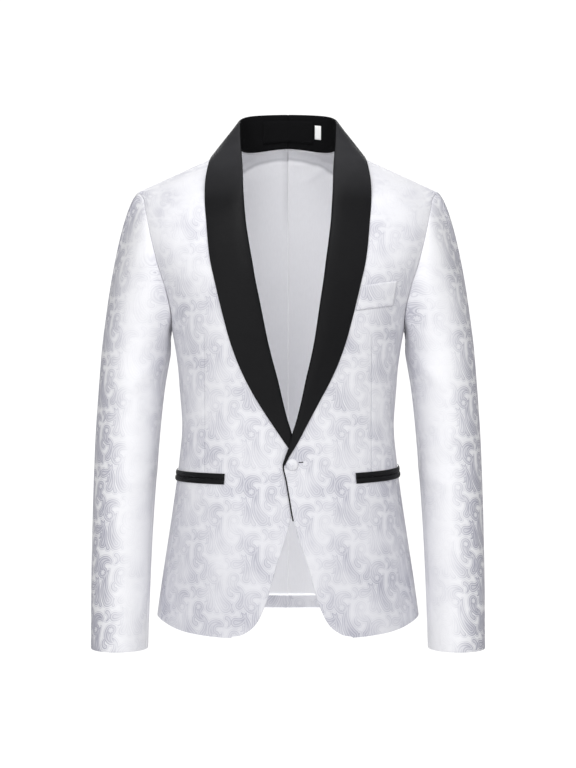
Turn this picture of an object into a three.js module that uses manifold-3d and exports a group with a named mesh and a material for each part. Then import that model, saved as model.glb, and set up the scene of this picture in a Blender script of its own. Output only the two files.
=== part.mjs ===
// A one-button shawl-collar tuxedo jacket in white paisley jacquard, worn with no wearer showing.
// Millimetres. +Z is up, +X is the wearer's left and the front faces -Y.
// The origin is the middle of the neck base, at the height where the shoulder seams reach the collar.
// The body of the jacket is one surface: a stack of rounded sections from below the hem up to the shoulder ridge.
// Every panel is a stretch of that surface between its seams, given the thickness of the cloth.
import * as THREE from "three";
import { mergeVertices } from "three/addons/utils/BufferGeometryUtils.js";
import Module from "manifold-3d";

const wasm = await Module();
wasm.setup();

const SIDES = { left: 1, right: -1 };
const CLOTH = 1.6; // outer cloth with its canvas
const SATIN = 1.2; // collar leaf and pocket trims
const LINING = 1.0;
const SEAM_GAP = 0.3;
const LIFT = 0.35; // air between a piece and the panel it lies on
const LAYER_STEP = 2.6; // how far each front moves out or in where the left laps over the right
const NECK_HALF = 70; // middle of the neck to the shoulder seam's inner end
const SHOULDER_HALF = 214.5; // middle of the neck to the shoulder point
const ROLL_TRIM = 1; // the cloth stops this far short of the roll line, under the fold of the collar
const CLOSURE_SHIFT = 5.6; // the button line lies this far towards the wearer's left
const BACK_NECK_Z = 5; // height of the neck seam at the centre back

// The body's sections, from below the hem to the shoulder ridge.
// drop is how much lower the section lies at the shoulder point than at the middle; power is how square it is.
const BODY_SECTIONS = [
  { z: -720, half: 192.0, front: 130, back: 131, drop: 0, power: 2.5, shift: 0 },
  { z: -670, half: 186.5, front: 125, back: 127, drop: 0, power: 2.5, shift: 0 },
  { z: -620, half: 179.7, front: 120, back: 121, drop: 0, power: 2.5, shift: 0 },
  { z: -563, half: 171.0, front: 115, back: 112, drop: 0, power: 2.5, shift: 0 },
  { z: -506, half: 162.5, front: 110, back: 102, drop: 0, power: 2.5, shift: 0 },
  { z: -449, half: 155.0, front: 107, back: 94, drop: 0, power: 2.5, shift: 0 },
  { z: -391, half: 149.8, front: 107, back: 91, drop: 0, power: 2.5, shift: 0 },
  { z: -334, half: 154.0, front: 111, back: 96, drop: 0, power: 2.55, shift: 0 },
  { z: -290, half: 160.5, front: 115, back: 103, drop: 0, power: 2.6, shift: 0 },
  { z: -262, half: 165.5, front: 117, back: 108, drop: 0, power: 2.7, shift: 0 },
  { z: -207, half: 181.0, front: 118, back: 116, drop: 6, power: 2.8, shift: 0 },
  { z: -150, half: 199.0, front: 112, back: 119, drop: 20, power: 2.9, shift: 0.5 },
  { z: -98, half: 207.5, front: 99, back: 115, drop: 40, power: 2.9, shift: 1.5 },
  { z: -55, half: 212.0, front: 81, back: 104, drop: 59, power: 2.8, shift: 3 },
  { z: -21, half: 214.0, front: 58, back: 87, drop: 73, power: 2.6, shift: 4 },
  { z: 5, half: 214.5, front: 32, back: 62, drop: 82, power: 2.4, shift: 5 },
  { z: 21.7, half: 214.5, front: 0, back: 0, drop: 86.7, power: 2.4, shift: 5 },
];
const ARMPIT_LEVEL = 9;
const RIDGE_LEVEL = 16;
const SLOPE_SOFTNESS = 0.15; // rounds the shoulder slope where it would meet itself at the middle

// The hem's height round the body; turn is 0 at the centre front, 90 at the side and 180 at the centre back.
const HEM = [
  { turn: -20, z: -686.5 },
  { turn: 25, z: -686.5 },
  { turn: 41, z: -683 },
  { turn: 51, z: -678.5 },
  { turn: 62, z: -672.5 },
  { turn: 73, z: -668.5 },
  { turn: 90, z: -667 },
  { turn: 115, z: -669.5 },
  { turn: 145, z: -673.5 },
  { turn: 180, z: -675.5 },
];

// The armhole: where each level's section stops, in front of the arm and behind it.
const ARMHOLE = [
  { level: 9, front: 90, back: 90 },
  { level: 9.04, front: 82, back: 99 },
  { level: 9.14, front: 74.5, back: 107 },
  { level: 9.3, front: 67.5, back: 112.5 },
  { level: 9.55, front: 63.3, back: 116.5 },
  { level: 10.1, front: 60.3, back: 119 },
  { level: 11, front: 57.7, back: 120 },
  { level: 12, front: 58.3, back: 119 },
  { level: 13, front: 60.2, back: 116.5 },
  { level: 14, front: 64.3, back: 112.5 },
  { level: 15, front: 70, back: 107 },
  { level: 15.6, front: 75.5, back: 101.5 },
  { level: 16, front: 90, back: 90 },
];
const FRONT_SIDE_SEAM = 68; // turn of the seam between front and side panel
const BACK_SIDE_SEAM = [
  { level: 0, turn: 113 },
  { level: 3, turn: 115 },
  { level: 6, turn: 121 },
  { level: 9, turn: 118 },
  { level: 11, turn: 116 },
];

// The front's free edge, as its distance from the button line: cutaway corner, lap, roll line and neck.
const FRONT_EDGE = [
  { z: -685, x: 83 },
  { z: -684, x: 74 },
  { z: -680.5, x: 65 },
  { z: -670, x: 51.4 },
  { z: -650, x: 40.1 },
  { z: -632, x: 33.3 },
  { z: -616, x: 28.7 },
  { z: -584, x: 19.7 },
  { z: -555, x: 9.6 },
  { z: -523, x: 1.4 },
  { z: -500, x: -2.5 },
  { z: -471, x: -7.5 },
  { z: -453, x: -11.2 },
  { z: -441, x: -8.2 },
  { z: -428, x: -3.2 },
  { z: -408, x: 2 },
  { z: -389, x: 7.9 },
  { z: -362, x: 14.7 },
  { z: -334, x: 20.9 },
  { z: -307, x: 27.7 },
  { z: -280, x: 33.7 },
  { z: -253, x: 38.5 },
  { z: -225, x: 43.3 },
  { z: -198, x: 48.1 },
  { z: -170, x: 52.3 },
  { z: -142, x: 56.6 },
  { z: -114, x: 60.3 },
  { z: -85, x: 62.6 },
  { z: -52, x: 65.9 },
  { z: -15, x: 68.6 },
  { z: 21.7, x: 70 },
];

// The collar's outer edge on the chest, as its distance from the middle; only its foot follows the button line.
const COLLAR_EDGE = [
  { z: -453, x: -10.8 },
  { z: -441, x: -4.3 },
  { z: -426, x: 5.6 },
  { z: -394, x: 25 },
  { z: -362, x: 43.6 },
  { z: -334, x: 58.6 },
  { z: -307, x: 70.4 },
  { z: -280, x: 79.8 },
  { z: -253, x: 87.2 },
  { z: -225, x: 94.2 },
  { z: -198, x: 100.5 },
  { z: -170, x: 106.7 },
  { z: -142, x: 110.2 },
  { z: -114, x: 112.7 },
  { z: -85, x: 115.2 },
  { z: -60, x: 115 },
];

// The collar round the neck, from the centre back forwards. The seam is where the stand meets the neck edge,
// by its distance from the middle behind the shoulder seam and by its height in front of it.
const NECK_STATIONS = [
  { seamX: 0.2, fold: [0.2, 62, 53.4], edge: [0.2, 86.5, -11] },
  { seamX: 28, fold: [29, 59, 52.4], edge: [40, 84, -12] },
  { seamX: 52, fold: [55, 46, 48.6], edge: [76, 71, -13] },
  { seamX: 66, fold: [67, 28, 42], edge: [98, 44, -13.5] },
  { seamX: 70.4, fold: [69.6, 9, 33.6], edge: [107, 7, -12.5] },
  { seamZ: -14, fold: [69, -9, 15.5], edge: [111, -22, -22.5] },
  { seamZ: -29, fold: [67.6, -30, -7.5], edge: [114, -43, -39] },
  { seamZ: -50, fold: [65.4, -55, -34], edge: [116, -63, -60.5] },
];
// The collar on the chest: heights of its fold and of the edge point across from it.
const LAPEL_STATIONS = [
  { fold: -82, edge: -90 },
  { fold: -115, edge: -124 },
  { fold: -150, edge: -160 },
  { fold: -198, edge: -208 },
  { fold: -253, edge: -264 },
  { fold: -307, edge: -317 },
  { fold: -350, edge: -357 },
  { fold: -389, edge: -394 },
  { fold: -420, edge: -422 },
  { fold: -437, edge: -437.5 },
  { fold: -452, edge: -452 },
];
// A section across the folded collar, from the cloth's edge over the fold to the free edge.
// across is a share of the leaf's width, beside is millimetres from the cloth's edge, out is off the cloth,
// and puff is how much further off it stands where the collar is wide.
const LAPEL_SECTION = [
  { across: 0, beside: -1.1, out: -1.2, puff: 0 },
  { across: 0, beside: -1.2, out: -0.2, puff: 0 },
  { across: 0, beside: -0.9, out: 0.7, puff: 0.3 },
  { across: 0, beside: 0.7, out: 1.25, puff: 1 },
  { across: 0.1, beside: 0, out: 1.3, puff: 1.9 },
  { across: 0.26, beside: 0, out: 1.3, puff: 2.2 },
  { across: 0.48, beside: 0, out: 1.25, puff: 1.5 },
  { across: 0.74, beside: 0, out: 1.35, puff: 0.6 },
  { across: 1, beside: 0, out: 1.4, puff: 0 },
];
const FULL_WIDTH = 45; // the collar's roll is full where it is at least this wide
const NECK_FOLD_RADIUS = 2.6;

// The sleeve below its cap: the middle, and the half widths across (x) and front to back (y).
const SLEEVE_RINGS = [
  { z: -300, x: 217.5, halfX: 49.3, y: 2, halfY: 64 },
  { z: -350, x: 223.4, halfX: 47, y: -1, halfY: 62 },
  { z: -420, x: 228.7, halfX: 45.6, y: -8, halfY: 58 },
  { z: -500, x: 232.2, halfX: 43.7, y: -22, halfY: 54 },
  { z: -560, x: 233.9, halfX: 42.4, y: -33, halfY: 51.5 },
  { z: -620, x: 234.9, halfX: 41.4, y: -44, halfY: 49.5 },
  { z: -680, x: 235.1, halfX: 40.2, y: -56, halfY: 48.3 },
  { z: -708, x: 235.1, halfX: 39.8, y: -62, halfY: 48 },
];
const SLEEVE_FRONT_SEAM = 150; // roughly, in degrees round the sleeve from its outer side through the front
const SLEEVE_BACK_SEAM = 240;

// The largest soft folds: where each crosses its panel, which way it runs, and its size.
const BODY_FOLDS = [
  { turn: 34, z: -500, alongTurn: 0.9, alongZ: 0.44, length: 120, width: 16, depth: 1.6 },
  { turn: 26, z: -596, alongTurn: 0.8, alongZ: -0.6, length: 60, width: 15, depth: 2.2 },
  { turn: 60, z: -590, alongTurn: 0.1, alongZ: 1, length: 170, width: 22, depth: -2.4 },
  { turn: 84, z: -360, alongTurn: 0.4, alongZ: 0.92, length: 120, width: 18, depth: 2.0 },
  { turn: 128, z: -600, alongTurn: 0.1, alongZ: 1, length: 180, width: 26, depth: 2.6 },
  { turn: 158, z: -600, alongTurn: -0.1, alongZ: 1, length: 170, width: 24, depth: -2.2 },
  { turn: 132, z: -400, alongTurn: 0.95, alongZ: 0.3, length: 130, width: 18, depth: 2.2 },
  { turn: 126, z: -200, alongTurn: 0.3, alongZ: 0.95, length: 130, width: 16, depth: 2.4 },
];
const SLEEVE_FOLDS = [
  { turn: 110, z: -330, alongTurn: 0.8, alongZ: 0.6, length: 80, width: 12, depth: 2.2 },
  { turn: 120, z: -430, alongTurn: 0.9, alongZ: -0.4, length: 70, width: 13, depth: 2.0 },
  { turn: 135, z: -470, alongTurn: 0.95, alongZ: 0.3, length: 70, width: 12, depth: 2.0 },
  { turn: 300, z: -360, alongTurn: 0.3, alongZ: 0.95, length: 140, width: 16, depth: 2.0 },
  { turn: 60, z: -600, alongTurn: 0.2, alongZ: 1, length: 120, width: 14, depth: -1.4 },
];

const BUTTON = { x: 5.6, z: -450.6, radius: 8.2, rise: 3.6, rim: 1.4, shank: 1.5 };
const BUTTONHOLE = { eye: 2.3, slit: 0.7, end: 21.2 };
const HIP_POCKETS = {
  left: { innerX: 93, innerZ: -470, outerZ: -462 },
  right: { innerX: 87, innerZ: -471, outerZ: -468 },
};
const JET = { outerTurn: 96, width: 7.2, slit: 0.6 };
const BREAST_WELT = {
  top: [[101.5, -205], [150, -197.5]],
  bottom: [[93, -239.5], [144.5, -232]],
};
const FACING = { top: -454.2, bottom: -528, width: 12, show: 1.3 };
const NECK_LABEL = { half: 37, low: 0.24, high: 0.86 };
const SIZE_LABEL = { from: 38.5, to: 48.5, low: 0.27, high: 0.72 };

const rad = THREE.MathUtils.degToRad;
const { lerp, smoothstep } = THREE.MathUtils;

// A smooth curve through one column of a table, keyed by another, that never overshoots a row.
function through(table, key, value) {
  const xs = table.map((row) => row[key]);
  const ys = table.map((row) => row[value]);
  const last = xs.length - 1;
  const chord = xs.slice(1).map((x, i) => (ys[i + 1] - ys[i]) / (x - xs[i]));
  const slope = xs.map((_, i) => {
    if (i === 0) return chord[0];
    if (i === last) return chord[last - 1];
    if (chord[i - 1] * chord[i] <= 0) return 0;
    const before = xs[i] - xs[i - 1];
    const after = xs[i + 1] - xs[i];
    const a = 2 * after + before;
    const b = after + 2 * before;
    return (a + b) / (a / chord[i - 1] + b / chord[i]);
  });
  return (x) => {
    let i = 0;
    while (i < last - 1 && x > xs[i + 1]) i += 1;
    const width = xs[i + 1] - xs[i];
    const t = THREE.MathUtils.clamp((x - xs[i]) / width, 0, 1);
    const s = t * t * (3 - 2 * t);
    const lift = width * (t * (1 - t) * (1 - t) * slope[i] - t * t * (1 - t) * slope[i + 1]);
    return ys[i] * (1 - s) + ys[i + 1] * s + lift;
  };
}

// A smooth curve through a list of points, one unit of t for each.
function pathThrough(points, t) {
  const last = points.length - 1;
  const i = Math.min(Math.floor(t), last - 1);
  const at = (k) => points[THREE.MathUtils.clamp(k, 0, last)];
  const [p0, p1, p2, p3] = [at(i - 1), at(i), at(i + 1), at(i + 2)];
  const f = t - i;
  const axis = (k) => {
    const before = (p2.getComponent(k) - p0.getComponent(k)) / 2;
    const after = (p3.getComponent(k) - p1.getComponent(k)) / 2;
    const s = f * f * (3 - 2 * f);
    const bend = f * (1 - f) * (1 - f) * before - f * f * (1 - f) * after;
    return p1.getComponent(k) * (1 - s) + p2.getComponent(k) * s + bend;
  };
  return new THREE.Vector3(axis(0), axis(1), axis(2));
}

const levels = BODY_SECTIONS.map((row, level) => ({ level, ...row }));
const section = Object.fromEntries(
  ["z", "half", "front", "back", "drop", "power", "shift"].map((name) => [name, through(levels, "level", name)]),
);
const hemZ = through(HEM, "turn", "z");
const armholeFront = through(ARMHOLE, "level", "front");
const armholeBack = through(ARMHOLE, "level", "back");
const backSideSeam = through(BACK_SIDE_SEAM, "level", "turn");
const frontEdge = through(FRONT_EDGE, "z", "x");
const collarEdge = through(COLLAR_EDGE, "z", "x");

// How much of a section's drop is reached at a distance from the middle.
function slope(x) {
  const round = (r) => Math.hypot(r, SLOPE_SOFTNESS) - SLOPE_SOFTNESS;
  return round(Math.abs(x) / SHOULDER_HALF) / round(1);
}

// The soft trough or ridge that a table of folds leaves at a place; mmPerTurn turns degrees into millimetres.
function foldDepth(folds, turn, z, mmPerTurn) {
  return folds.reduce((sum, fold) => {
    const dx = (turn - fold.turn) * mmPerTurn;
    const dz = z - fold.z;
    const reach = Math.hypot(fold.alongTurn, fold.alongZ);
    const along = (dx * fold.alongTurn + dz * fold.alongZ) / reach / (fold.length / 2);
    const across = (dx * fold.alongZ - dz * fold.alongTurn) / reach / fold.width;
    return sum + fold.depth * Math.exp(-along * along - across * across);
  }, 0);
}

// A point of the smooth body: a section with rounded corners, scaled to its half width, front and back depth.
function bodyForm(turn, level) {
  const s = Math.sin(rad(turn));
  const c = Math.cos(rad(turn));
  const power = section.power(level);
  const reach = (Math.abs(s) ** power + Math.abs(c) ** power) ** (-1 / power);
  const depth = c > 0 ? section.front(level) : section.back(level);
  const x = section.half(level) * reach * s;
  const y = section.shift(level) - depth * reach * c;
  return new THREE.Vector3(x, y, section.z(level) - section.drop(level) * slope(x));
}

// The outward direction of a surface of two parameters, from short steps along each.
function normalOf(surface, u, v, stepU, stepV) {
  const du = surface(u + stepU, v).sub(surface(u - stepU, v));
  const dv = surface(u, v + stepV).sub(surface(u, v - stepV));
  return du.cross(dv).normalize();
}

function bodyNormal(turn, level) {
  if (level < RIDGE_LEVEL - 0.02) return normalOf(bodyForm, turn, level, 0.4, 0.02);
  const along = bodyForm(80, RIDGE_LEVEL).sub(bodyForm(40, RIDGE_LEVEL)).normalize();
  return new THREE.Vector3(-along.z, 0, along.x);
}

// The level at which the body is at a height, over or under the point x.
function levelAt(x, z) {
  let low = 0;
  let high = RIDGE_LEVEL;
  for (let i = 0; i < 40; i += 1) {
    const middle = (low + high) / 2;
    if (section.z(middle) - section.drop(middle) * slope(x) < z) low = middle;
    else high = middle;
  }
  return (low + high) / 2;
}

function turnAt(x, level) {
  const share = THREE.MathUtils.clamp(x / section.half(level), -0.9999, 0.9999);
  const power = section.power(level);
  const ahead = (1 - Math.abs(share) ** power) ** (1 / power);
  return THREE.MathUtils.radToDeg(Math.atan2(share, ahead));
}

const closureLine = (z) => CLOSURE_SHIFT * (1 - smoothstep(z, -400, -60));

// The left front lies outside the right one near the button line.
function layerStep(side, x, z) {
  const away = Math.abs(x - side * closureLine(z));
  const high = 1 - smoothstep(z, -300, -180);
  return side * LAYER_STEP * (1 - smoothstep(away, 26, 92)) * high;
}

// A point of the jacket's outer face on one side, moved out by a distance, and the way out of it.
// x counts outwards from the middle on both sides, so a right-hand piece is mirrored when it is built.
function bodyPlace(side, turn, level, out = 0) {
  const base = bodyForm(turn, level);
  const normal = bodyNormal(turn, level);
  const fade = 1 - smoothstep(level, 12, 14);
  const folds = foldDepth(BODY_FOLDS, turn, base.z, 2.2) * fade;
  const layer = turn < 90 ? layerStep(side, base.x, base.z) : 0;
  return { point: base.addScaledVector(normal, out + layer + folds), normal };
}

function placeAt(side, x, z, out = 0) {
  const level = levelAt(x, z);
  return bodyPlace(side, turnAt(x, level), level, out);
}

// Closes a grid of places into a wall: the outer face is at the places and the inner one lies a thickness in.
function wallGeometry(grid, thickness, side) {
  const rows = grid.length;
  const columns = grid[0].length;
  const flat = grid.flat();
  const outer = flat.map((place) => place.point.clone());
  const inner = flat.map((place) => place.point.clone().addScaledVector(place.normal, -thickness));
  const positions = [...outer, ...inner].flatMap((p) => [p.x * side, p.y, p.z]);
  const id = (i, j) => i * columns + j;
  const triangles = [];
  const quad = (a, b, c, d) => triangles.push([a, b, c], [a, c, d]);
  const back = rows * columns;
  for (let i = 0; i < rows - 1; i += 1)
    for (let j = 0; j < columns - 1; j += 1) {
      const [a, b, c, d] = [id(i, j), id(i, j + 1), id(i + 1, j + 1), id(i + 1, j)];
      quad(a, b, c, d);
      triangles.push([c + back, b + back, a + back], [d + back, c + back, a + back]);
    }
  const rim = [];
  for (let j = 0; j < columns - 1; j += 1) rim.push(id(0, j));
  for (let i = 0; i < rows - 1; i += 1) rim.push(id(i, columns - 1));
  for (let j = columns - 1; j > 0; j -= 1) rim.push(id(rows - 1, j));
  for (let i = rows - 1; i > 0; i -= 1) rim.push(id(i, 0));
  rim.forEach((a, k) => {
    const b = rim[(k + 1) % rim.length];
    quad(a, a + back, b + back, b);
  });
  const [a, b, d] = [outer[0], outer[1], outer[columns]];
  const facing = b.clone().sub(a).cross(d.clone().sub(a)).dot(flat[0].normal) * side;
  if (facing < 0) triangles.forEach((t) => t.reverse());
  const geometry = new THREE.BufferGeometry();
  geometry.setAttribute("position", new THREE.Float32BufferAttribute(positions, 3));
  geometry.setIndex(triangles.flat());
  return geometry;
}

// A grid of places, from a function of two shares between 0 and 1 and the shares wanted.
const gridOf = (rowShares, columnShares, place) => rowShares.map((v) => columnShares.map((u) => place(u, v)));
const evenly = (count) => Array.from({ length: count + 1 }, (_, i) => i / count);

function toManifold(geometry) {
  const bare = geometry.clone();
  bare.deleteAttribute("normal");
  bare.deleteAttribute("uv");
  const merged = mergeVertices(bare, 1e-4);
  return new wasm.Manifold(
    new wasm.Mesh({
      numProp: 3,
      vertProperties: merged.attributes.position.array,
      triVerts: new Uint32Array(merged.index.array),
    }),
  );
}

function fromManifold(solid) {
  const mesh = solid.getMesh();
  const positions = [];
  for (let i = 0; i < mesh.numVert; i += 1)
    positions.push(...mesh.vertProperties.slice(i * mesh.numProp, i * mesh.numProp + 3));
  const geometry = new THREE.BufferGeometry();
  geometry.setAttribute("position", new THREE.Float32BufferAttribute(positions, 3));
  geometry.setIndex([...mesh.triVerts]);
  return geometry;
}

const MATERIALS = {
  jacquard: new THREE.MeshStandardMaterial({ color: 0xe9e9ef, roughness: 0.42, metalness: 0 }),
  satin: new THREE.MeshStandardMaterial({ color: 0x1b1b1e, roughness: 0.36, metalness: 0 }),
  lining: new THREE.MeshStandardMaterial({ color: 0xd9dadf, roughness: 0.5, metalness: 0 }),
  label: new THREE.MeshStandardMaterial({ color: 0xf2f2f2, roughness: 0.7, metalness: 0 }),
};

const jacket = new THREE.Group();

function addPiece(name, geometry, material) {
  const mesh = new THREE.Mesh(geometry, MATERIALS[material]);
  mesh.name = name;
  jacket.add(mesh);
}

// Rows shared by every panel, so that the seams between them meet point for point.
// They are given as heights below the armhole and as levels above it.
const LOW_HEIGHTS = [-686.5, -684.5, -678, -665, -640, -600, -556, -516, -482, -453, -438, -412];
const LOW_ROWS = [...LOW_HEIGHTS.map((z) => levelAt(0, z)), 6.4, 7.2, 8];
const WAIST_LEVEL = 6;
const TOP_LOW = LOW_ROWS.at(-1);

// The level of a row at a turn, stretched below the waist so that the lowest row follows the hem.
function hemmedLevel(row, turn) {
  if (row >= WAIST_LEVEL) return row;
  const hem = levelAt(0, hemZ(turn));
  return hem + ((row - LOW_ROWS[0]) * (WAIST_LEVEL - hem)) / (WAIST_LEVEL - LOW_ROWS[0]);
}

// The level at which the armhole's edge crosses a seam that runs up into it.
function crossing(difference) {
  let [low, high] = [ARMPIT_LEVEL, 11];
  for (let i = 0; i < 40; i += 1) {
    const middle = (low + high) / 2;
    if (difference(middle) > 0) low = middle;
    else high = middle;
  }
  return low;
}

const FRONT_JUNCTION = crossing((level) => armholeFront(level) - FRONT_SIDE_SEAM);
const BACK_JUNCTION = crossing((level) => backSideSeam(level) - armholeBack(level));
const sideRows = (junction) => [0.5, 1].map((share) => lerp(TOP_LOW, junction, share));

// Front panels: hem to shoulder seam, from the free edge, roll line and neck to the side seam and armhole.
const FRONT_ROWS = [
  ...LOW_ROWS,
  ...sideRows(FRONT_JUNCTION),
  ...[9.62, 10.2, 10.9, 11.6, 12.3, 13, 13.7, 14.4, 15.05, 15.65, 16],
];
const FRONT_COLUMNS = [0, 0.05, 0.13, 0.23, 0.34, 0.45, 0.56, 0.67, 0.78, 0.89, 1];

// Found by stepping, because the free edge is given by height and the section's height changes with the turn.
function frontInnerTurn(side, row) {
  let turn = 20;
  for (let i = 0; i < 24; i += 1) {
    const level = hemmedLevel(row, turn);
    const { z } = bodyForm(turn, level);
    const trim = ROLL_TRIM * smoothstep(z, -456, -436);
    turn = lerp(turn, turnAt(frontEdge(z) + trim + side * closureLine(z), level), 0.7);
  }
  return turn;
}

function frontPanel(side) {
  const grid = FRONT_ROWS.map((row) => {
    const inner = frontInnerTurn(side, row);
    const outer = row > FRONT_JUNCTION ? armholeFront(row) : FRONT_SIDE_SEAM - SEAM_GAP / 4;
    return FRONT_COLUMNS.map((u) => {
      const turn = lerp(inner, outer, u);
      return bodyPlace(side, turn, hemmedLevel(row, turn));
    });
  });
  grid.at(-1).forEach((place) => (place.point.y -= SEAM_GAP / 2));
  return grid;
}

// The keyhole buttonhole, as a cutter that passes right through the left front.
function buttonholeCutter() {
  const { y } = placeAt(1, BUTTON.x, BUTTON.z).point;
  const depth = 14;
  const length = BUTTONHOLE.end - BUTTON.x;
  const eye = new THREE.CylinderGeometry(BUTTONHOLE.eye, BUTTONHOLE.eye, depth, 12);
  eye.translate(BUTTON.x, y, BUTTON.z);
  const slit = new THREE.BoxGeometry(length, depth, 2 * BUTTONHOLE.slit);
  slit.translate(BUTTON.x + length / 2, y, BUTTON.z);
  return toManifold(eye).add(toManifold(slit));
}

const panels = {};
for (const [name, side] of Object.entries(SIDES)) {
  const grid = frontPanel(side);
  const geometry = wallGeometry(grid, CLOTH, side);
  const cut = side > 0 ? fromManifold(toManifold(geometry).subtract(buttonholeCutter())) : geometry;
  addPiece(`front_${name}`, cut, "jacquard");
  panels[name] = { front: grid };
}

// Side panels: hem to the underarm, between the front and back panels.
const SIDE_COLUMNS = [0, 0.17, 0.34, 0.5, 0.66, 0.83, 1];

function underarmLevel(turn) {
  if (turn < 90) return crossing((level) => armholeFront(level) - turn);
  return crossing((level) => turn - armholeBack(level));
}

function sidePanel(side) {
  const upper = sideRows(FRONT_JUNCTION);
  const from = FRONT_SIDE_SEAM + SEAM_GAP / 4;
  return [...LOW_ROWS, ...upper].map((row) =>
    SIDE_COLUMNS.map((u) => {
      const top = u === 0 ? FRONT_JUNCTION : underarmLevel(lerp(from, backSideSeam(BACK_JUNCTION), u));
      const share = Math.max(0, row - TOP_LOW) / (FRONT_JUNCTION - TOP_LOW);
      const level = row > TOP_LOW ? lerp(TOP_LOW, top, share) : row;
      const turn = lerp(from, backSideSeam(level) - SEAM_GAP / 4, u);
      return bodyPlace(side, turn, hemmedLevel(level, turn));
    }),
  );
}

for (const [name, side] of Object.entries(SIDES)) {
  panels[name].side = sidePanel(side);
  addPiece(`side_${name}`, wallGeometry(panels[name].side, CLOTH, side), "jacquard");
}

// Back panels: hem to shoulder seam, from the side seam and armhole to the centre back and neck.
const BACK_NECK_LEVEL = levelAt(0, BACK_NECK_Z);
const BACK_ROWS = [
  ...LOW_ROWS,
  ...sideRows(BACK_JUNCTION),
  ...[10.6, 11.3, 12, 12.7, 13.4, 14.2, BACK_NECK_LEVEL, 15.04, 15.13, 15.26, 15.42, 15.68, 16],
];
const BACK_COLUMNS = [0, 0.14, 0.28, 0.42, 0.56, 0.7, 0.85, 1];

// How far from the middle the back panel stops: at the centre seam, or on the neck curve above it.
function backInner(level) {
  const up = Math.max(0, level - BACK_NECK_LEVEL) / (RIDGE_LEVEL - BACK_NECK_LEVEL);
  return Math.max(0.15, (NECK_HALF + 0.6) * Math.sqrt(1 - (1 - up) ** 2.2));
}

function backPanel(side, out) {
  return BACK_ROWS.map((row) => {
    const inner = 180 - turnAt(backInner(row), row);
    const seam = (level) => (row > BACK_JUNCTION ? armholeBack(level) : backSideSeam(level) + SEAM_GAP / 4);
    return BACK_COLUMNS.map((u) => {
      const turn = lerp(seam(row), inner, u);
      const level = hemmedLevel(row, turn);
      return bodyPlace(side, lerp(seam(level), inner, u), level, out);
    });
  });
}

for (const [name, side] of Object.entries(SIDES)) {
  const grid = backPanel(side, 0);
  grid.at(-1).forEach((place) => (place.point.y += SEAM_GAP / 2));
  addPiece(`back_${name}`, wallGeometry(grid, CLOTH, side), "jacquard");
  panels[name].back = grid;
}

// The back lining, which shows through the front opening. It is the back's own points moved in, and it
// starts at the fourth row, where the back's turned-up hem ends.
const LINING_FIRST_ROW = 3;
for (const [name, side] of Object.entries(SIDES)) {
  const grid = panels[name].back.slice(LINING_FIRST_ROW).map((row) =>
    row.map(({ point, normal }) => ({ point: point.clone().addScaledVector(normal, -CLOTH - LIFT), normal })),
  );
  addPiece(`lining_back_${name}`, wallGeometry(grid, LINING, side), "lining");
}

// The armhole as one loop of the panels' own points: down the front from the shoulder point, under the arm
// and up the back. Each place knows how far round it is, in degrees of the loop's whole length.
function armholeLoop(name) {
  const { front, side, back } = panels[name];
  const down = front.filter((_, i) => FRONT_ROWS[i] >= FRONT_JUNCTION).map((row) => row.at(-1)).reverse();
  const under = side.at(-1).slice(1, -1);
  const up = back.filter((_, i) => BACK_ROWS[i] >= BACK_JUNCTION && BACK_ROWS[i] < 15.99).map((row) => row[0]);
  const apart = (place, i, all) => i === 0 || place.point.distanceTo(all[i - 1].point) > 4;
  const loop = [...down, ...under, ...up].filter(apart);
  const lengths = loop.map((place, i) => place.point.distanceTo(loop[(i + 1) % loop.length].point));
  const total = lengths.reduce((sum, length) => sum + length, 0);
  let travelled = 0;
  return loop.map((place, i) => {
    const before = loop[(i + loop.length - 1) % loop.length].point;
    const after = loop[(i + 1) % loop.length].point;
    const along = after.clone().sub(before).normalize();
    const intoHole = along.clone().cross(place.normal).normalize();
    if (intoHole.dot(new THREE.Vector3(195, 5, -165).sub(place.point)) < 0) intoHole.negate();
    const degrees = (360 * travelled) / total;
    travelled += lengths[i];
    return { ...place, intoHole, degrees };
  });
}

const ringAt = Object.fromEntries(
  ["x", "halfX", "y", "halfY"].map((name) => [name, through([...SLEEVE_RINGS].reverse(), "z", name)]),
);

// A point on the sleeve's tube below the cap: an oval round the arm, turned from its outer side to its front.
function sleeveRing(degrees, z) {
  const across = Math.cos(rad(degrees));
  const ahead = Math.sin(rad(degrees));
  const x = ringAt.x(z) + ringAt.halfX(z) * across;
  const y = ringAt.y(z) - ringAt.halfY(z) * ahead;
  return new THREE.Vector3(x, y, z);
}

const CAP_END = SLEEVE_RINGS[0].z;
const CUFF = SLEEVE_RINGS.at(-1).z;
const CAP_SHARE = 0.34; // share of the sleeve's rows that the cap takes

// The sleeve below one place of the armhole: a cap that curves to the upper arm, then the tube to the cuff.
function sleeveForm({ point, normal, intoHole, degrees }, turn, v) {
  if (v >= CAP_SHARE) return sleeveRing(turn, lerp(CAP_END, CUFF, (v - CAP_SHARE) / (1 - CAP_SHARE)));
  const t = v / CAP_SHARE;
  const top = (1 + Math.cos(rad(degrees))) / 2;
  const under = smoothstep(-Math.cos(rad(degrees)), 0.3, 0.9);
  const leave = new THREE.Vector3(8 + 66 * top ** 0.7, -20 * Math.sin(rad(degrees)), -(28 + 34 * top));
  const end = sleeveRing(turn, CAP_END);
  const start = point.clone().addScaledVector(intoHole, 2.4 * SEAM_GAP).addScaledVector(normal, 0.6 * under);
  const arrive = sleeveRing(turn, CAP_END - 1).sub(end).multiplyScalar(0.85 * end.distanceTo(start));
  const s = t * t * (3 - 2 * t);
  return start
    .multiplyScalar(1 - s)
    .addScaledVector(end, s)
    .addScaledVector(leave, t * (1 - t) * (1 - t))
    .addScaledVector(arrive, -t * t * (1 - t));
}

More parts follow.
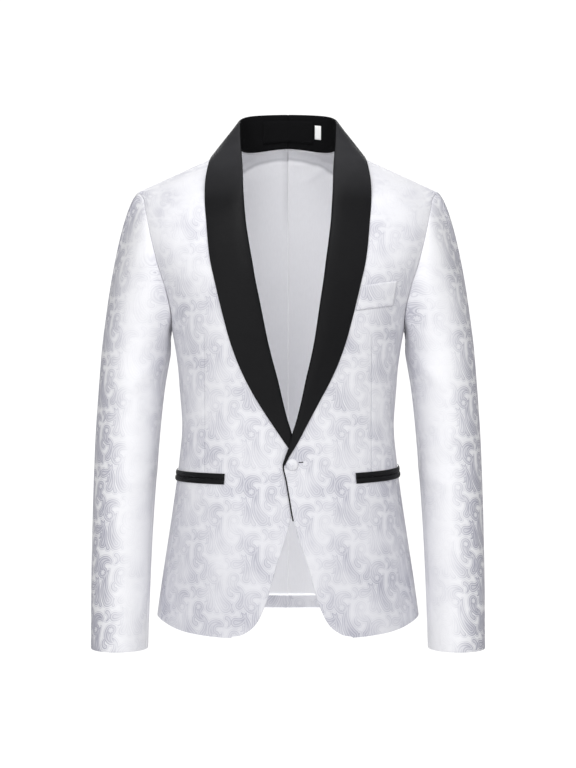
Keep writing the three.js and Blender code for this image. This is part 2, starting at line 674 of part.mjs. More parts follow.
const SLEEVE_ROWS = [
  0, 0.03, 0.075, 0.13, 0.19, 0.26, 0.34, 0.42, 0.5, 0.58, 0.66, 0.74, 0.82, 0.9, 0.96, 1,
];

// All the sleeve's places as columns, one below each place of the armhole.
function sleeveColumns(loop) {
  const forms = loop.map((place) => SLEEVE_ROWS.map((v) => sleeveForm(place, place.degrees, v)));
  return forms.map((column, k) => {
    const before = forms[(k + loop.length - 1) % loop.length];
    const after = forms[(k + 1) % loop.length];
    return column.map((base, i) => {
      const around = after[i].clone().sub(before[i]);
      const down = column[Math.min(i + 1, column.length - 1)].clone().sub(column[Math.max(i - 1, 0)]);
      const normal = around.cross(down).normalize();
      const turn = rad(loop[k].degrees);
      if (normal.dot(new THREE.Vector3(Math.cos(turn), -Math.sin(turn), 0.2)) < 0) normal.negate();
      if (i === 0) {
        const share = smoothstep(normal.dot(loop[k].normal), -0.2, 0.4);
        return { point: base, normal: normal.lerp(loop[k].normal, share).normalize() };
      }
      const v = SLEEVE_ROWS[i];
      const fade = smoothstep(v, 0.1, 0.3) * (1 - smoothstep(v, 0.94, 1));
      const folds = foldDepth(SLEEVE_FOLDS, loop[k].degrees, base.z, 0.9);
      return { point: base.clone().addScaledVector(normal, folds * fade), normal };
    });
  });
}

for (const [name, side] of Object.entries(SIDES)) {
  const loop = armholeLoop(name);
  const columns = sleeveColumns(loop);
  const count = loop.length;
  const frontSeam = loop.findIndex((place) => place.degrees > SLEEVE_FRONT_SEAM);
  const backSeam = loop.findIndex((place) => place.degrees > SLEEVE_BACK_SEAM);
  // The strip of columns between two seams, drawn back from each by half the gap.
  const strip = (from, to) => {
    const picked = Array.from({ length: to - from + 1 }, (_, i) => columns[(from + i) % count]);
    return SLEEVE_ROWS.map((_, i) =>
      picked.map((column, k) => {
        const { point, normal } = column[i];
        const inward = k === 0 ? picked[1][i].point : k === picked.length - 1 ? picked.at(-2)[i].point : point;
        const step = inward.clone().sub(point).setLength(SEAM_GAP * 0.9);
        return { point: k === 0 || k === picked.length - 1 ? point.clone().add(step) : point, normal };
      }),
    );
  };
  addPiece(`sleeve_top_${name}`, wallGeometry(strip(backSeam, frontSeam + count), CLOTH, side), "jacquard");
  addPiece(`sleeve_under_${name}`, wallGeometry(strip(frontSeam, backSeam), CLOTH, side), "jacquard");
}

// The neck edge of the panels, at the middle of the cloth's thickness and stepped off it into the neck.
function neckSeam(side, { seamX, seamZ }) {
  const step = seamZ === undefined ? 1.9 : 1.5;
  const at = (shift) => {
    if (seamZ !== undefined) return placeAt(side, frontEdge(seamZ + shift), seamZ + shift);
    const x = Math.min(seamX + shift, NECK_HALF + 0.59);
    const up = 1 - (1 - (x / (NECK_HALF + 0.6)) ** 2) ** (1 / 2.2);
    const level = lerp(BACK_NECK_LEVEL, RIDGE_LEVEL, up);
    return bodyPlace(side, 180 - turnAt(x, level), level);
  };
  const { point, normal } = at(0);
  const along = at(0.01).point.sub(at(-0.01).point).normalize();
  const off = along.cross(normal).normalize();
  if (off.dot(new THREE.Vector3(0, -10, 10).sub(point)) < 0) off.negate();
  return point.addScaledVector(normal, -CLOTH / 2).addScaledVector(off, step);
}

// Collar sections round the neck: up the stand, over the fold and down the fall.
function neckSection(side, station) {
  const n = neckSeam(side, station);
  const [f, e] = [station.fold, station.edge].map((p) => new THREE.Vector3(...p));
  const outwards = e.clone().sub(f).setZ(0).normalize();
  const inner = f.clone().addScaledVector(outwards, -NECK_FOLD_RADIUS * 0.6);
  inner.z -= NECK_FOLD_RADIUS * 1.4;
  const outer = f.clone().addScaledVector(outwards, NECK_FOLD_RADIUS * 0.9);
  outer.z -= NECK_FOLD_RADIUS * 0.5;
  const fall = (share) => {
    const bulge = 1.6 * Math.sin(Math.PI * share);
    return outer.clone().lerp(e, share).addScaledVector(outwards, bulge);
  };
  const stand = (share) => n.clone().lerp(inner, share);
  return [stand(0), stand(0.5), inner, f, outer, fall(0.22), fall(0.46), fall(0.73), e];
}

// Collar sections on the chest: the leaf lies on the front, rolled over its edge.
function lapelSection(side, { fold, edge }) {
  const from = frontEdge(fold) + side * closureLine(fold);
  const to = collarEdge(edge) + side * CLOSURE_SHIFT * (1 - smoothstep(edge, -453, -350));
  const full = Math.min(1, (to - from) / FULL_WIDTH);
  return LAPEL_SECTION.map(({ across, beside, out, puff }) => {
    const x = lerp(from, to, across) + beside;
    return placeAt(side, x, lerp(fold, edge, across), out + puff * full).point;
  });
}

const COLLAR_STEPS = 2; // rows for each station
function collarGrid(side) {
  const stations = [
    ...NECK_STATIONS.map((station) => neckSection(side, station)),
    ...LAPEL_STATIONS.map((station) => lapelSection(side, station)),
  ];
  const columns = stations[0].map((_, j) => stations.map((points) => points[j]));
  const rows = evenly((stations.length - 1) * COLLAR_STEPS).map((v) => v * (stations.length - 1));
  const points = rows.map((t) => columns.map((column) => pathThrough(column, t)));
  const at = (i, j) => points[THREE.MathUtils.clamp(i, 0, rows.length - 1)][THREE.MathUtils.clamp(j, 0, columns.length - 1)];
  return points.map((row, i) =>
    row.map((point, j) => {
      const along = at(i + 1, j).clone().sub(at(i - 1, j));
      const across = at(i, j + 1).clone().sub(at(i, j - 1));
      const normal = along.cross(across).normalize();
      return { point: point.clone().addScaledVector(normal, SATIN / 2), normal };
    }),
  );
}

for (const [name, side] of Object.entries(SIDES))
  addPiece(`collar_${name}`, wallGeometry(collarGrid(side), SATIN, side), "satin");

// The black facing turned in behind the left front, whose edge shows as a thin line.
{
  const heights = evenly(6).map((v) => lerp(FACING.top, FACING.bottom, v));
  const grid = heights.map((z) =>
    [0, 0.12, 0.5, 1].map((u) => {
      const x = frontEdge(z) + closureLine(z) - FACING.show + u * FACING.width;
      return placeAt(1, x, z, -CLOTH - 1.3 * LIFT);
    }),
  );
  addPiece("facing_left", wallGeometry(grid, 0.9, 1), "satin");
}

// Hip pockets: two black satin jets with a slit between them, across the front and side panels.
for (const [name, side] of Object.entries(SIDES)) {
  const { innerX, innerZ, outerZ } = HIP_POCKETS[name];
  const innerTurn = turnAt(innerX, levelAt(0, innerZ));
  for (const [row, way] of [["upper", 1], ["lower", -1]]) {
    const grid = [0, 0.3, 0.7, 1].map((v) =>
      evenly(9).map((u) => {
        const turn = lerp(innerTurn, JET.outerTurn, u);
        const middle = lerp(innerZ, outerZ, u);
        const z = middle + way * (JET.slit / 2 + v * JET.width);
        const puff = 1.1 + 0.7 * Math.sin(Math.PI * v);
        return bodyPlace(side, turn, levelAt(0, z), 3 * LIFT + puff);
      }),
    );
    addPiece(`hip_jet_${row}_${name}`, wallGeometry(grid, 1.1, side), "satin");
  }
}

// The breast pocket's welt, in the jacket's own cloth.
{
  const grid = evenly(2).map((v) =>
    evenly(4).map((u) => {
      const top = BREAST_WELT.top[0].map((value, k) => lerp(value, BREAST_WELT.top[1][k], u));
      const bottom = BREAST_WELT.bottom[0].map((value, k) => lerp(value, BREAST_WELT.bottom[1][k], u));
      const [x, z] = bottom.map((value, k) => lerp(value, top[k], v));
      return placeAt(1, x, z, 1.8 * LIFT + 1.2);
    }),
  );
  addPiece("breast_welt", wallGeometry(grid, 1.2, 1), "jacquard");
}

// The covered button: a dome on a shank that passes through the buttonhole to the right front.
{
  const over = placeAt(1, BUTTON.x, BUTTON.z).point;
  const under = placeAt(-1, -BUTTON.x, BUTTON.z).point;
  const front = over.y - 0.5;
  const profile = [[0, under.y - SEAM_GAP], [BUTTON.shank, under.y - SEAM_GAP], [BUTTON.shank, front]];
  const dome = [
    [BUTTON.radius - 0.8, front],
    [BUTTON.radius, front - BUTTON.rim],
    [BUTTON.radius * 0.82, front - BUTTON.rise * 0.75],
    [BUTTON.radius * 0.45, front - BUTTON.rise * 0.97],
    [0, front - BUTTON.rise],
  ];
  const points = [...profile, ...dome].map(([r, y]) => new THREE.Vector2(r, y));
  const geometry = new THREE.LatheGeometry(points, 20);
  geometry.translate(BUTTON.x, 0, -BUTTON.z);
  geometry.scale(1, 1, -1);
  const mesh = toManifold(geometry);
  addPiece("button", fromManifold(mesh), "jacquard");
}

// The bare woven label inside the stand, and the small white tag beside it.
function standPlace(across, up, out) {
  const side = Math.sign(across) || 1;
  const sections = NECK_STATIONS.map((station) => neckSection(side, station));
  const columns = [0, 1, 2].map((j) => sections.map((points) => points[j]));
  const at = (t, w) => pathThrough([0, 1, 2].map((j) => pathThrough(columns[j], t)), w * 2);
  let [low, high] = [0, 3];
  for (let i = 0; i < 30; i += 1) {
    const middle = (low + high) / 2;
    if (at(middle, up).x < Math.abs(across)) low = middle;
    else high = middle;
  }
  const t = Math.max(low, 0.02);
  const normal = normalOf(at, t, up, 0.02, 0.02);
  if (normal.y > 0) normal.negate();
  const point = at(t, up).addScaledVector(normal, SATIN / 2 + out);
  point.x *= side;
  normal.x *= side;
  return { point, normal };
}

function labelGrid(from, to, low, high, columns, out) {
  return evenly(3).map((v) => evenly(columns).map((u) => standPlace(lerp(from, to, u), lerp(low, high, v), out)));
}

const LABEL_THICK = 1.0;
addPiece(
  "neck_label",
  wallGeometry(labelGrid(-NECK_LABEL.half, NECK_LABEL.half, NECK_LABEL.low, NECK_LABEL.high, 12, 2 * LIFT + LABEL_THICK), LABEL_THICK, 1),
  "satin",
);
addPiece(
  "size_label",
  wallGeometry(labelGrid(SIZE_LABEL.from, SIZE_LABEL.to, SIZE_LABEL.low, SIZE_LABEL.high, 2, 2 * LIFT + LABEL_THICK), LABEL_THICK, 1),
  "label",
);

export default jacket;
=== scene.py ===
"""White paisley jacquard tuxedo jacket with a black satin shawl collar, filled out as if worn."""

import math

import bpy
import numpy as np
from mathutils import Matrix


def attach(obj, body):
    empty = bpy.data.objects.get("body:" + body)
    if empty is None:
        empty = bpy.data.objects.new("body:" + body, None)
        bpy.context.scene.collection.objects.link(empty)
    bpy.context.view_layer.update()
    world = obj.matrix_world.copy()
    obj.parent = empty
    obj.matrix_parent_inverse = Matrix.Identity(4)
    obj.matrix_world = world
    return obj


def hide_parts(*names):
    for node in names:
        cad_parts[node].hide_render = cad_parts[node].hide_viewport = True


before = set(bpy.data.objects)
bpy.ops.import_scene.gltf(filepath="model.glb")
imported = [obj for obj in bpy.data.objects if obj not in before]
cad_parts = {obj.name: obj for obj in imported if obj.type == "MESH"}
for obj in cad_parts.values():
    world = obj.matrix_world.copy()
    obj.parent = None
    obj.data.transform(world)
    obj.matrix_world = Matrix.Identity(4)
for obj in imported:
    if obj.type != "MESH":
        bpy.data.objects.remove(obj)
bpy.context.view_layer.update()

# The view
# The jacket is seen straight from the front at the height of its waist, in front of plain white.
# Soft lamps stand to both sides of the viewer and behind the jacket, and a weak one hangs overhead.
# Two small ones light the lining through the neck and the hem.
scene = bpy.context.scene
scene.view_settings.view_transform = "Standard"
camera = bpy.data.objects.new("camera", bpy.data.cameras.new("camera"))
camera.location = (0, -2.6, -0.34)
camera.rotation_euler = (math.radians(90), 0, 0)
camera.data.lens = 85.2
scene.collection.objects.link(camera)
scene.camera = camera


def soft_lamp(name, place, aim, size, power, spread=180):
    """A square lamp at a place. Its light leaves towards aim, within a cone of spread degrees."""
    data = bpy.data.lights.new(name, "AREA")
    data.size = size
    data.energy = power
    data.spread = math.radians(spread)
    lamp = bpy.data.objects.new(name, data)
    lamp.visible_camera = False
    lamp.location = place
    way = np.subtract(aim, place)
    tilt = math.atan2(math.hypot(way[0], way[1]), -way[2])
    lamp.rotation_euler = (tilt, 0, math.atan2(-way[0], way[1]))
    scene.collection.objects.link(lamp)


soft_lamp("key", (-0.9, -2.6, 0.45), (0, 0, -0.25), 1.5, 32)
soft_lamp("fill", (1.1, -2.7, 0.2), (0, 0, -0.3), 1.6, 22)
soft_lamp("overhead", (0, -0.2, 1.9), (0, 0, -0.3), 2.0, 1)
soft_lamp("behind", (0, 2.6, 0.6), (0, 0, -0.3), 1.8, 28)
soft_lamp("into_the_neck", (0, -0.3, 0.5), (0, 0.1, -0.2), 0.3, 1.15, 130)
soft_lamp("into_the_hem", (0, 0.03, -1.15), (0, 0.06, -0.5), 0.3, 0.4, 60)

world = bpy.data.worlds.new("white")
scene.world = world
world.use_nodes = True
sky = world.node_tree
backdrop = sky.nodes["Background"]
backdrop.inputs["Color"].default_value = (1, 1, 1, 1)
seen = sky.nodes.new("ShaderNodeLightPath")
level_of = sky.nodes.new("ShaderNodeMapRange")
level_of.inputs["To Min"].default_value = 0.43
level_of.inputs["To Max"].default_value = 1.1
sky.links.new(seen.outputs["Is Camera Ray"], level_of.inputs["Value"])
sky.links.new(level_of.outputs["Result"], backdrop.inputs["Strength"])

# The fronts
# Two panels of white paisley jacquard with canvas behind, cut away below the one button.
# Each runs from its free edge, the collar's roll and the neck to the side seam, armhole and shoulder.
# Lengths are in millimetres, and a level counts the body's sections from the hem to the shoulder ridge.
SIDES = {"left": 1, "right": -1}
CLOTH = 1.6
EDGE_TUCK = 0.28  # how far each face steps in at a wall's edge, as a share of its thickness
SEAM_GAP = 0.3
LAP = 2.6  # how far each front moves, out or in, where the two lap
SHOULDER_HALF = 214.5
RIDGE_LEVEL = 16
HEM_LOW = -686.5
BUTTON_LINE = 5.6  # the button's distance to the wearer's left
BODY_SECTIONS = [  # height, half width, depth ahead and behind, drop at the shoulder, squareness, shift
    (-720, 192.0, 130, 131, 0, 2.5, 0),
    (-670, 186.5, 125, 127, 0, 2.5, 0),
    (-620, 179.7, 120, 121, 0, 2.5, 0),
    (-563, 171.0, 115, 112, 0, 2.5, 0),
    (-506, 162.5, 110, 102, 0, 2.5, 0),
    (-449, 155.0, 107, 94, 0, 2.5, 0),
    (-391, 149.8, 107, 91, 0, 2.5, 0),
    (-334, 154.0, 111, 96, 0, 2.55, 0),
    (-290, 160.5, 115, 103, 0, 2.6, 0),
    (-262, 165.5, 117, 108, 0, 2.7, 0),
    (-207, 181.0, 118, 116, 6, 2.8, 0),
    (-150, 199.0, 112, 119, 20, 2.9, 0.5),
    (-98, 207.5, 99, 115, 40, 2.9, 1.5),
    (-55, 212.0, 81, 104, 59, 2.8, 3),
    (-21, 214.0, 58, 87, 73, 2.6, 4),
    (5, 214.5, 32, 62, 82, 2.4, 5),
    (21.7, 214.5, 0, 0, 86.7, 2.4, 5),
]
HEM = [  # turn round the body, height
    (-20, HEM_LOW), (25, HEM_LOW), (41, -683), (51, -678.5), (62, -672.5),
    (73, -668.5), (90, -667), (115, -669.5), (145, -673.5), (180, -675.5),
]
ARMHOLE = [  # level, turn in front of the arm and behind it
    (9, 90, 90), (9.04, 82, 99), (9.14, 74.5, 107), (9.3, 67.5, 112.5), (9.55, 63.3, 116.5),
    (10.1, 60.3, 119), (11, 57.7, 120), (12, 58.3, 119), (13, 60.2, 116.5), (14, 64.3, 112.5),
    (15, 70, 107), (15.6, 75.5, 101.5), (16, 90, 90),
]
FRONT_EDGE = [  # height, distance from the button line
    (-685, 83), (-684, 74), (-680.5, 65), (-670, 51.4), (-650, 40.1), (-632, 33.3), (-616, 28.7),
    (-584, 19.7), (-555, 9.6), (-523, 1.4), (-500, -2.5), (-471, -7.5), (-453, -11.2), (-441, -8.2),
    (-428, -3.2), (-408, 2), (-389, 7.9), (-362, 14.7), (-334, 20.9), (-307, 27.7), (-280, 33.7),
    (-253, 38.5), (-225, 43.3), (-198, 48.1), (-170, 52.3), (-142, 56.6), (-114, 60.3), (-85, 62.6),
    (-52, 65.9), (-15, 68.6), (21.7, 70),
]
BODY_FOLDS = [  # turn, height, direction by turn and height, length, width, depth
    (34, -500, 0.9, 0.44, 120, 16, 1.6),
    (26, -596, 0.8, -0.6, 60, 15, 2.2),
    (60, -590, 0.1, 1, 170, 22, -2.4),
    (84, -360, 0.4, 0.92, 120, 18, 2.0),
    (128, -600, 0.1, 1, 180, 26, 2.6),
    (158, -600, -0.1, 1, 170, 24, -2.2),
    (132, -400, 0.95, 0.3, 130, 18, 2.2),
    (126, -200, 0.3, 0.95, 130, 16, 2.4),
]


def lerp(a, b, share):
    """Straight line from a to b."""
    return a + (b - a) * share


def smoothstep(x, low, high):
    """0 below low, 1 above high, and between them 3t^2 - 2t^3."""
    t = np.clip((x - low) / (high - low), 0, 1)
    return t * t * (3 - 2 * t)


def unit(vectors):
    """Each vector over its own length."""
    return vectors / np.maximum(np.linalg.norm(vectors, axis=-1, keepdims=True), 1e-9)


def through(rows, value=1, key=0):
    """A smooth curve through one column of a table, keyed by another. Its pieces are cubics whose slope
    at a row is the harmonic mean of the chords beside it, and 0 at a turn, so no row is overshot."""
    xs = np.array([row[key] for row in rows], float)
    ys = np.array([row[value] for row in rows], float)
    wide = np.diff(xs)
    chord = np.diff(ys) / wide
    a = 2 * wide[1:] + wide[:-1]
    b = wide[1:] + 2 * wide[:-1]
    same = chord[:-1] * chord[1:] > 0
    before = np.where(same, chord[:-1], 1)
    after = np.where(same, chord[1:], 1)
    middle = np.where(same, (a + b) / (a / before + b / after), 0)
    rise = np.concatenate([chord[:1], middle, chord[-1:]])

    def curve(x):
        """The cubic of the piece that x lies in."""
        x = np.asarray(x, float)
        i = np.clip(np.searchsorted(xs, x) - 1, 0, len(wide) - 1)
        t = np.clip((x - xs[i]) / wide[i], 0, 1)
        bend = t * (1 - t) ** 2 * rise[i] - t * t * (1 - t) * rise[i + 1]
        return lerp(ys[i], ys[i + 1], t * t * (3 - 2 * t)) + wide[i] * bend

    return curve


LEVELS = [(level, *row) for level, row in enumerate(BODY_SECTIONS)]
height, half, ahead, behind, drop, power, shift = (through(LEVELS, column) for column in range(1, 8))
hem_height = through(HEM)
armhole_front = through(ARMHOLE, 1)
armhole_back = through(ARMHOLE, 2)
front_edge = through(FRONT_EDGE)


def slope(x):
    """Share of a section's drop at a distance from the middle: straight, rounded off at the middle."""
    return (np.hypot(np.abs(x) / SHOULDER_HALF, 0.15) - 0.15) / (math.hypot(1, 0.15) - 0.15)


def body_form(turn, level):
    """A point of the smooth body: a superellipse with its own half width, front and back depth and
    squareness at each level, lowered away from the middle by the slope of the shoulders."""
    sine, cosine = np.sin(np.radians(turn)), np.cos(np.radians(turn))
    square = power(level)
    reach = (np.abs(sine) ** square + np.abs(cosine) ** square) ** (-1 / square)
    x = half(level) * reach * sine
    y = shift(level) - np.where(cosine > 0, ahead(level), behind(level)) * reach * cosine
    return np.stack([x, y, height(level) - drop(level) * slope(x)], -1)


ridge_way = unit(body_form(80, RIDGE_LEVEL) - body_form(40, RIDGE_LEVEL))
RIDGE_NORMAL = np.array([-ridge_way[2], 0, ridge_way[0]])


def body_normal(turn, level):
    """The outward way: the cross product of short steps round the body and up it."""
    round_it = body_form(turn + 0.4, level) - body_form(turn - 0.4, level)
    up_it = body_form(turn, level + 0.02) - body_form(turn, level - 0.02)
    on_ridge = (level >= RIDGE_LEVEL - 0.02)[..., None]
    return np.where(on_ridge, RIDGE_NORMAL, unit(np.cross(round_it, up_it)))


def level_at(x, z):
    """The level at which the body is at a height, over or under x, by halving."""
    low = np.zeros(np.broadcast(x, z).shape)
    high = low + RIDGE_LEVEL
    for _ in range(32):
        middle = (low + high) / 2
        under = height(middle) - drop(middle) * slope(x) < z
        low = np.where(under, middle, low)
        high = np.where(under, high, middle)
    return (low + high) / 2


def turn_at(x, level):
    """The turn at which a section in front is at a distance from the middle."""
    share = np.clip(x / half(level), -0.9999, 0.9999)
    square = power(level)
    return np.degrees(np.arctan2(share, (1 - np.abs(share) ** square) ** (1 / square)))


def closure_line(z):
    """The button line's distance to the wearer's left, which fades out above the button."""
    return BUTTON_LINE * (1 - smoothstep(z, -400, -60))


def layer_step(side, x, z):
    """How far a front moves out, on the left, or in, on the right, where the two lap. It fades away from
    the button line and above it."""
    away = np.abs(x - side * closure_line(z))
    return side * LAP * (1 - smoothstep(away, 26, 92)) * (1 - smoothstep(z, -300, -180))


def fold_depth(folds, turn, z, mm_per_turn):
    """Soft troughs and ridges: each fold is a long bell, exp(-along^2 - across^2), times its depth."""
    total = 0
    for place, level, by_turn, by_height, length, width, depth in folds:
        dx, dz, long = (turn - place) * mm_per_turn, z - level, math.hypot(by_turn, by_height)
        along = (dx * by_turn + dz * by_height) / long / (length / 2)
        across = (dx * by_height - dz * by_turn) / long / width
        total = total + depth * np.exp(-(along**2) - across**2)
    return total


def body_place(side, turn, level, out=0.0):
    """A point of the jacket's outer face, moved out, and the way out of it. x counts outwards from the
    middle on both sides, so a right-hand piece is mirrored when its mesh is made."""
    turn, level = np.broadcast_arrays(np.asarray(turn, float), np.asarray(level, float))
    base, normal = body_form(turn, level), body_normal(turn, level)
    folds = fold_depth(BODY_FOLDS, turn, base[..., 2], 2.2) * (1 - smoothstep(level, 12, 14))
    layer = np.where(turn < 90, layer_step(side, base[..., 0], base[..., 2]), 0)
    return base + normal * np.asarray(out + layer + folds)[..., None], normal


def place_at(side, x, z, out=0.0):
    """The same, found by distance from the middle and height."""
    level = level_at(x, z)
    return body_place(side, turn_at(x, level), level, out)


def cloth_map(points, normals, across, grain, start):
    """Cloth coordinates in metres. Every step between neighbours is split into its part across the cloth
    and its part up it; the first is summed along the rows from the grain column, the second along
    the columns from the start row, and the grain column and start row tie the two together."""
    up = unit(np.cross(normals, across))
    right = np.cross(up, normals)

    def summed(way, axis):
        """The steps' parts along a way, added up along one axis."""
        step = np.diff(points, axis=axis)
        before = np.take(way, range(way.shape[axis] - 1), axis)
        after = np.take(way, range(1, way.shape[axis]), axis)
        total = np.cumsum((step * (before + after) / 2).sum(-1), axis)
        return np.concatenate([np.zeros_like(np.take(total, [0], axis)), total], axis)

    u, v = summed(right, 1), summed(up, 0)
    leaning, rising = summed(right, 0)[:, grain], summed(up, 1)[start]
    u = u - u[:, grain : grain + 1] + (leaning - leaning[start])[:, None]
    v = v - v[start : start + 1] + (rising - rising[grain])[None]
    return np.stack([u, v], -1) / 1000


def piece_from(name, verts, faces, cloth, finishes):
    """A smooth piece of the jacket from its mesh, with the chart of its cloth by vertex."""
    mesh = bpy.data.meshes.new(name)
    mesh.from_pydata(verts, [], faces)
    mesh.polygons.foreach_set("use_smooth", np.ones(len(faces), bool))
    corners = np.empty(len(mesh.loops), np.int32)
    mesh.loops.foreach_get("vertex_index", corners)
    mesh.uv_layers.new(name="cloth").data.foreach_set("uv", cloth[corners].astype(np.float32).ravel())
    for finish in finishes:
        mesh.materials.append(finish)
    piece = bpy.data.objects.new(name, mesh)
    scene.collection.objects.link(piece)
    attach(piece, "root")
    return piece


def wall(name, place, thickness, side, finishes, grain, start=0, across=None, origin=(0, 0)):
    """A cloth wall from a grid of outer points and the ways out of them. The inner face lies a thickness
    in, and the edge is rounded: its middle is at the place, and both faces step in a little there. A
    second finish goes on the inner face. The grain column, the start row, the way across the cloth and
    the origin lay the cloth's chart."""
    points, normals = (np.array(part, float) for part in place)
    rows, columns = points.shape[:2]
    edge = np.zeros((rows, columns), bool)
    edge[[0, -1]] = edge[:, [0, -1]] = True
    tuck = np.where(edge, EDGE_TUCK * thickness, 0)[..., None]
    mirror = np.array([side, 1, 1])
    grid = points * mirror
    ways = normals * mirror
    outer = (points - normals * tuck) * mirror
    inner = (points - normals * (thickness - tuck)) * mirror
    ids = np.arange(rows * columns).reshape(rows, columns)
    rim = np.concatenate([ids[0, :-1], ids[:-1, -1], ids[-1, :0:-1], ids[:0:-1, 0]])
    middle = ((points - normals * thickness / 2) * mirror).reshape(-1, 3)[rim]
    verts = np.concatenate([outer.reshape(-1, 3), inner.reshape(-1, 3), middle]) / 1000

    a, b, c, d = ids[:-1, :-1], ids[:-1, 1:], ids[1:, 1:], ids[1:, :-1]
    face = np.stack([a, b, c, d], -1).reshape(-1, 4)
    count = rows * columns
    ring = 2 * count + np.arange(len(rim))
    after, ring_after = np.roll(rim, -1), np.roll(ring, -1)
    upper = np.stack([rim, ring, ring_after, after], -1)
    lower = np.stack([ring, rim + count, after + count, ring_after], -1)
    faces = np.concatenate([face, face[:, ::-1] + count, upper, lower])
    m, n = rows // 2, columns // 2
    facing = np.cross(grid[m, n + 1] - grid[m, n], grid[m + 1, n] - grid[m, n]) @ ways[m, n]
    if facing < 0:
        faces = faces[:, ::-1]

    if across is None:
        across = unit(np.cross((0, 0, 1), ways))
    cloth = cloth_map(grid, ways, np.broadcast_to(across, ways.shape), grain, start).reshape(-1, 2)
    cloth = np.concatenate([cloth, cloth, cloth[rim]]) + origin
    piece = piece_from(name, verts, faces, cloth, finishes)
    lined = np.zeros(len(faces), np.int32)
    lined[len(face) : 2 * len(face)] = len(finishes) > 1
    piece.data.polygons.foreach_set("material_index", lined)
    return piece


class Wire:
    """One socket of a finish. Sums on it add Math nodes, so a pattern reads as plain arithmetic."""

    def __init__(self, finish, socket):
        self.finish = finish
        self.socket = socket

    def maths(self, operation, *others):
        """A Math node on this and others."""
        return self.finish.node("ShaderNodeMath", {"operation": operation}, [self, *others])

    def vector(self, operation, *others):
        """A Vector Math node on this and others."""
        output = 1 if operation == "DOT_PRODUCT" else 0
        return self.finish.node("ShaderNodeVectorMath", {"operation": operation}, [self, *others], output)

    def along(self, *way):
        """How far a vector reaches along a way: their dot product."""
        return self.vector("DOT_PRODUCT", way)

    def ribs(self, across, up):
        """Fine ribs: a sine that repeats every so many millimetres across the cloth and up it."""
        return self.along(2 * math.pi / across, 2 * math.pi / up, 0).maths("SINE")

    def __add__(self, other):
        return self.maths("ADD", other)

    def __sub__(self, other):
        return self.maths("SUBTRACT", other)

    def __rsub__(self, other):
        return self.finish.node("ShaderNodeMath", {"operation": "SUBTRACT"}, [other, self])

    def __mul__(self, other):
        return self.maths("MULTIPLY", other)

    def __pow__(self, other):
        return self.maths("POWER", other)

    def rises(self, low, high):
        """0 at low, 1 at high, straight between and level beyond. High may be the lesser."""
        settings = {"operation": "MULTIPLY_ADD", "use_clamp": True}
        return self.finish.node("ShaderNodeMath", settings, [self, 1 / (high - low), -low / (high - low)])

    __radd__ = __add__
    __rmul__ = __mul__


class Finish:
    """A material, its shader, and the one way in which nodes are added to it."""

    def __init__(self, name, **numbers):
        self.material = bpy.data.materials.new(name)
        self.material.use_nodes = True
        self.tree = self.material.node_tree
        self.shader = self.tree.nodes["Principled BSDF"]
        for socket, number in numbers.items():
            self.shader.inputs[socket.replace("_", " ")].default_value = number

    def node(self, kind, settings, values, output=0):
        """A node of a kind with its settings, then the numbers or links of its sockets."""
        made = self.tree.nodes.new(kind)
        for setting, value in settings.items():
            setattr(made, setting, value)
        for key, value in values.items() if isinstance(values, dict) else enumerate(values):
            if isinstance(value, Wire):
                self.tree.links.new(value.socket, made.inputs[key])
            else:
                made.inputs[key].default_value = value
        return Wire(self, made.outputs[output])

    def blend(self, share, first, second):
        """A colour between two, by a share."""
        return self.node("ShaderNodeMix", {"data_type": "RGBA"}, {0: share, 6: first, 7: second}, 2)

    def cloth(self):
        """The piece's own cloth coordinates, in millimetres."""
        return self.node("ShaderNodeUVMap", {"uv_map": "cloth"}, []).vector("MULTIPLY", (1000, 1000, 0))

    def spot(self):
        """Object coordinates, in millimetres: to the wearer's left, to the back and up."""
        return self.node("ShaderNodeTexCoord", {}, [], 3).vector("MULTIPLY", (1000, 1000, 1000))

    def cloud(self, place, size):
        """Soft noise about 0.5 whose patches are about size millimetres wide."""
        return self.node("ShaderNodeTexNoise", {}, {"Vector": place, "Scale": 1 / size, "Detail": 2.0})

    def feed(self, colour, roughness=None, height=None, deep=0.3):
        """Links what varies to the shader; height is in shares of a depth in millimetres."""
        self.tree.links.new(colour.socket, self.shader.inputs["Base Color"])
        if roughness:
            self.tree.links.new(roughness.socket, self.shader.inputs["Roughness"])
        if height:
            values = {"Strength": 1.0, "Distance": deep / 1000, "Height": height}
            bump = self.node("ShaderNodeBump", {}, values)
            self.tree.links.new(bump.socket, self.shader.inputs["Normal"])
        return self.material


REPEAT_WIDE, REPEAT_TALL = 61.0, 93.0
CHART_SCALE = 1.18  # the figure is charted this much larger than it is woven
OUTLINE_STEP = 3.9
DART_AT = 116
LEAVES = [  # bulb, tip, bend to the left, bulb's radius, how slowly it tapers; millimetres in one repeat
    ((29, 12.5), (23, 63), 9, 10.4, 0.62),
    ((2.5, 11), (-7, 50), -6, 7.6, 0.6),
    ((10, 57.5), (25, 73), 14.5, 9.8, 0.4),
    ((43, 58), (58, 38), -9, 9.4, 0.6),
    ((45.5, 80), (62, 97), -6, 7.8, 0.7),
    ((38.5, 31), (42, 44), 7, 3.8, 0.5),
    ((51.5, 14), (48, 46), -7, 6.6, 0.6),
    ((31, 87), (31, 72), 5, 3.6, 0.5),
    ((14.5, 5), (10, 26), 2, 3.6, 0.6),
    ((58, 73), (52, 66), 3, 2.6, 0.6),
    ((40, 5), (41, 18), 2, 2.6, 0.6),
]
ROSETTES = [((10, 57.5), 5.6), ((43, 58), 5.2)]


def repeated(place, at):
    """Across and up from a place in the nearest repeat. Each column of repeats is half a repeat higher
    than the one before it."""
    x, y = place[0] - at[0], place[1] - at[1]
    column = (x * (1 / REPEAT_WIDE)).maths("ROUND")
    half_tall = REPEAT_TALL / 2
    return x - column * REPEAT_WIDE, (y - column * half_tall).maths("WRAP", half_tall, -half_tall)


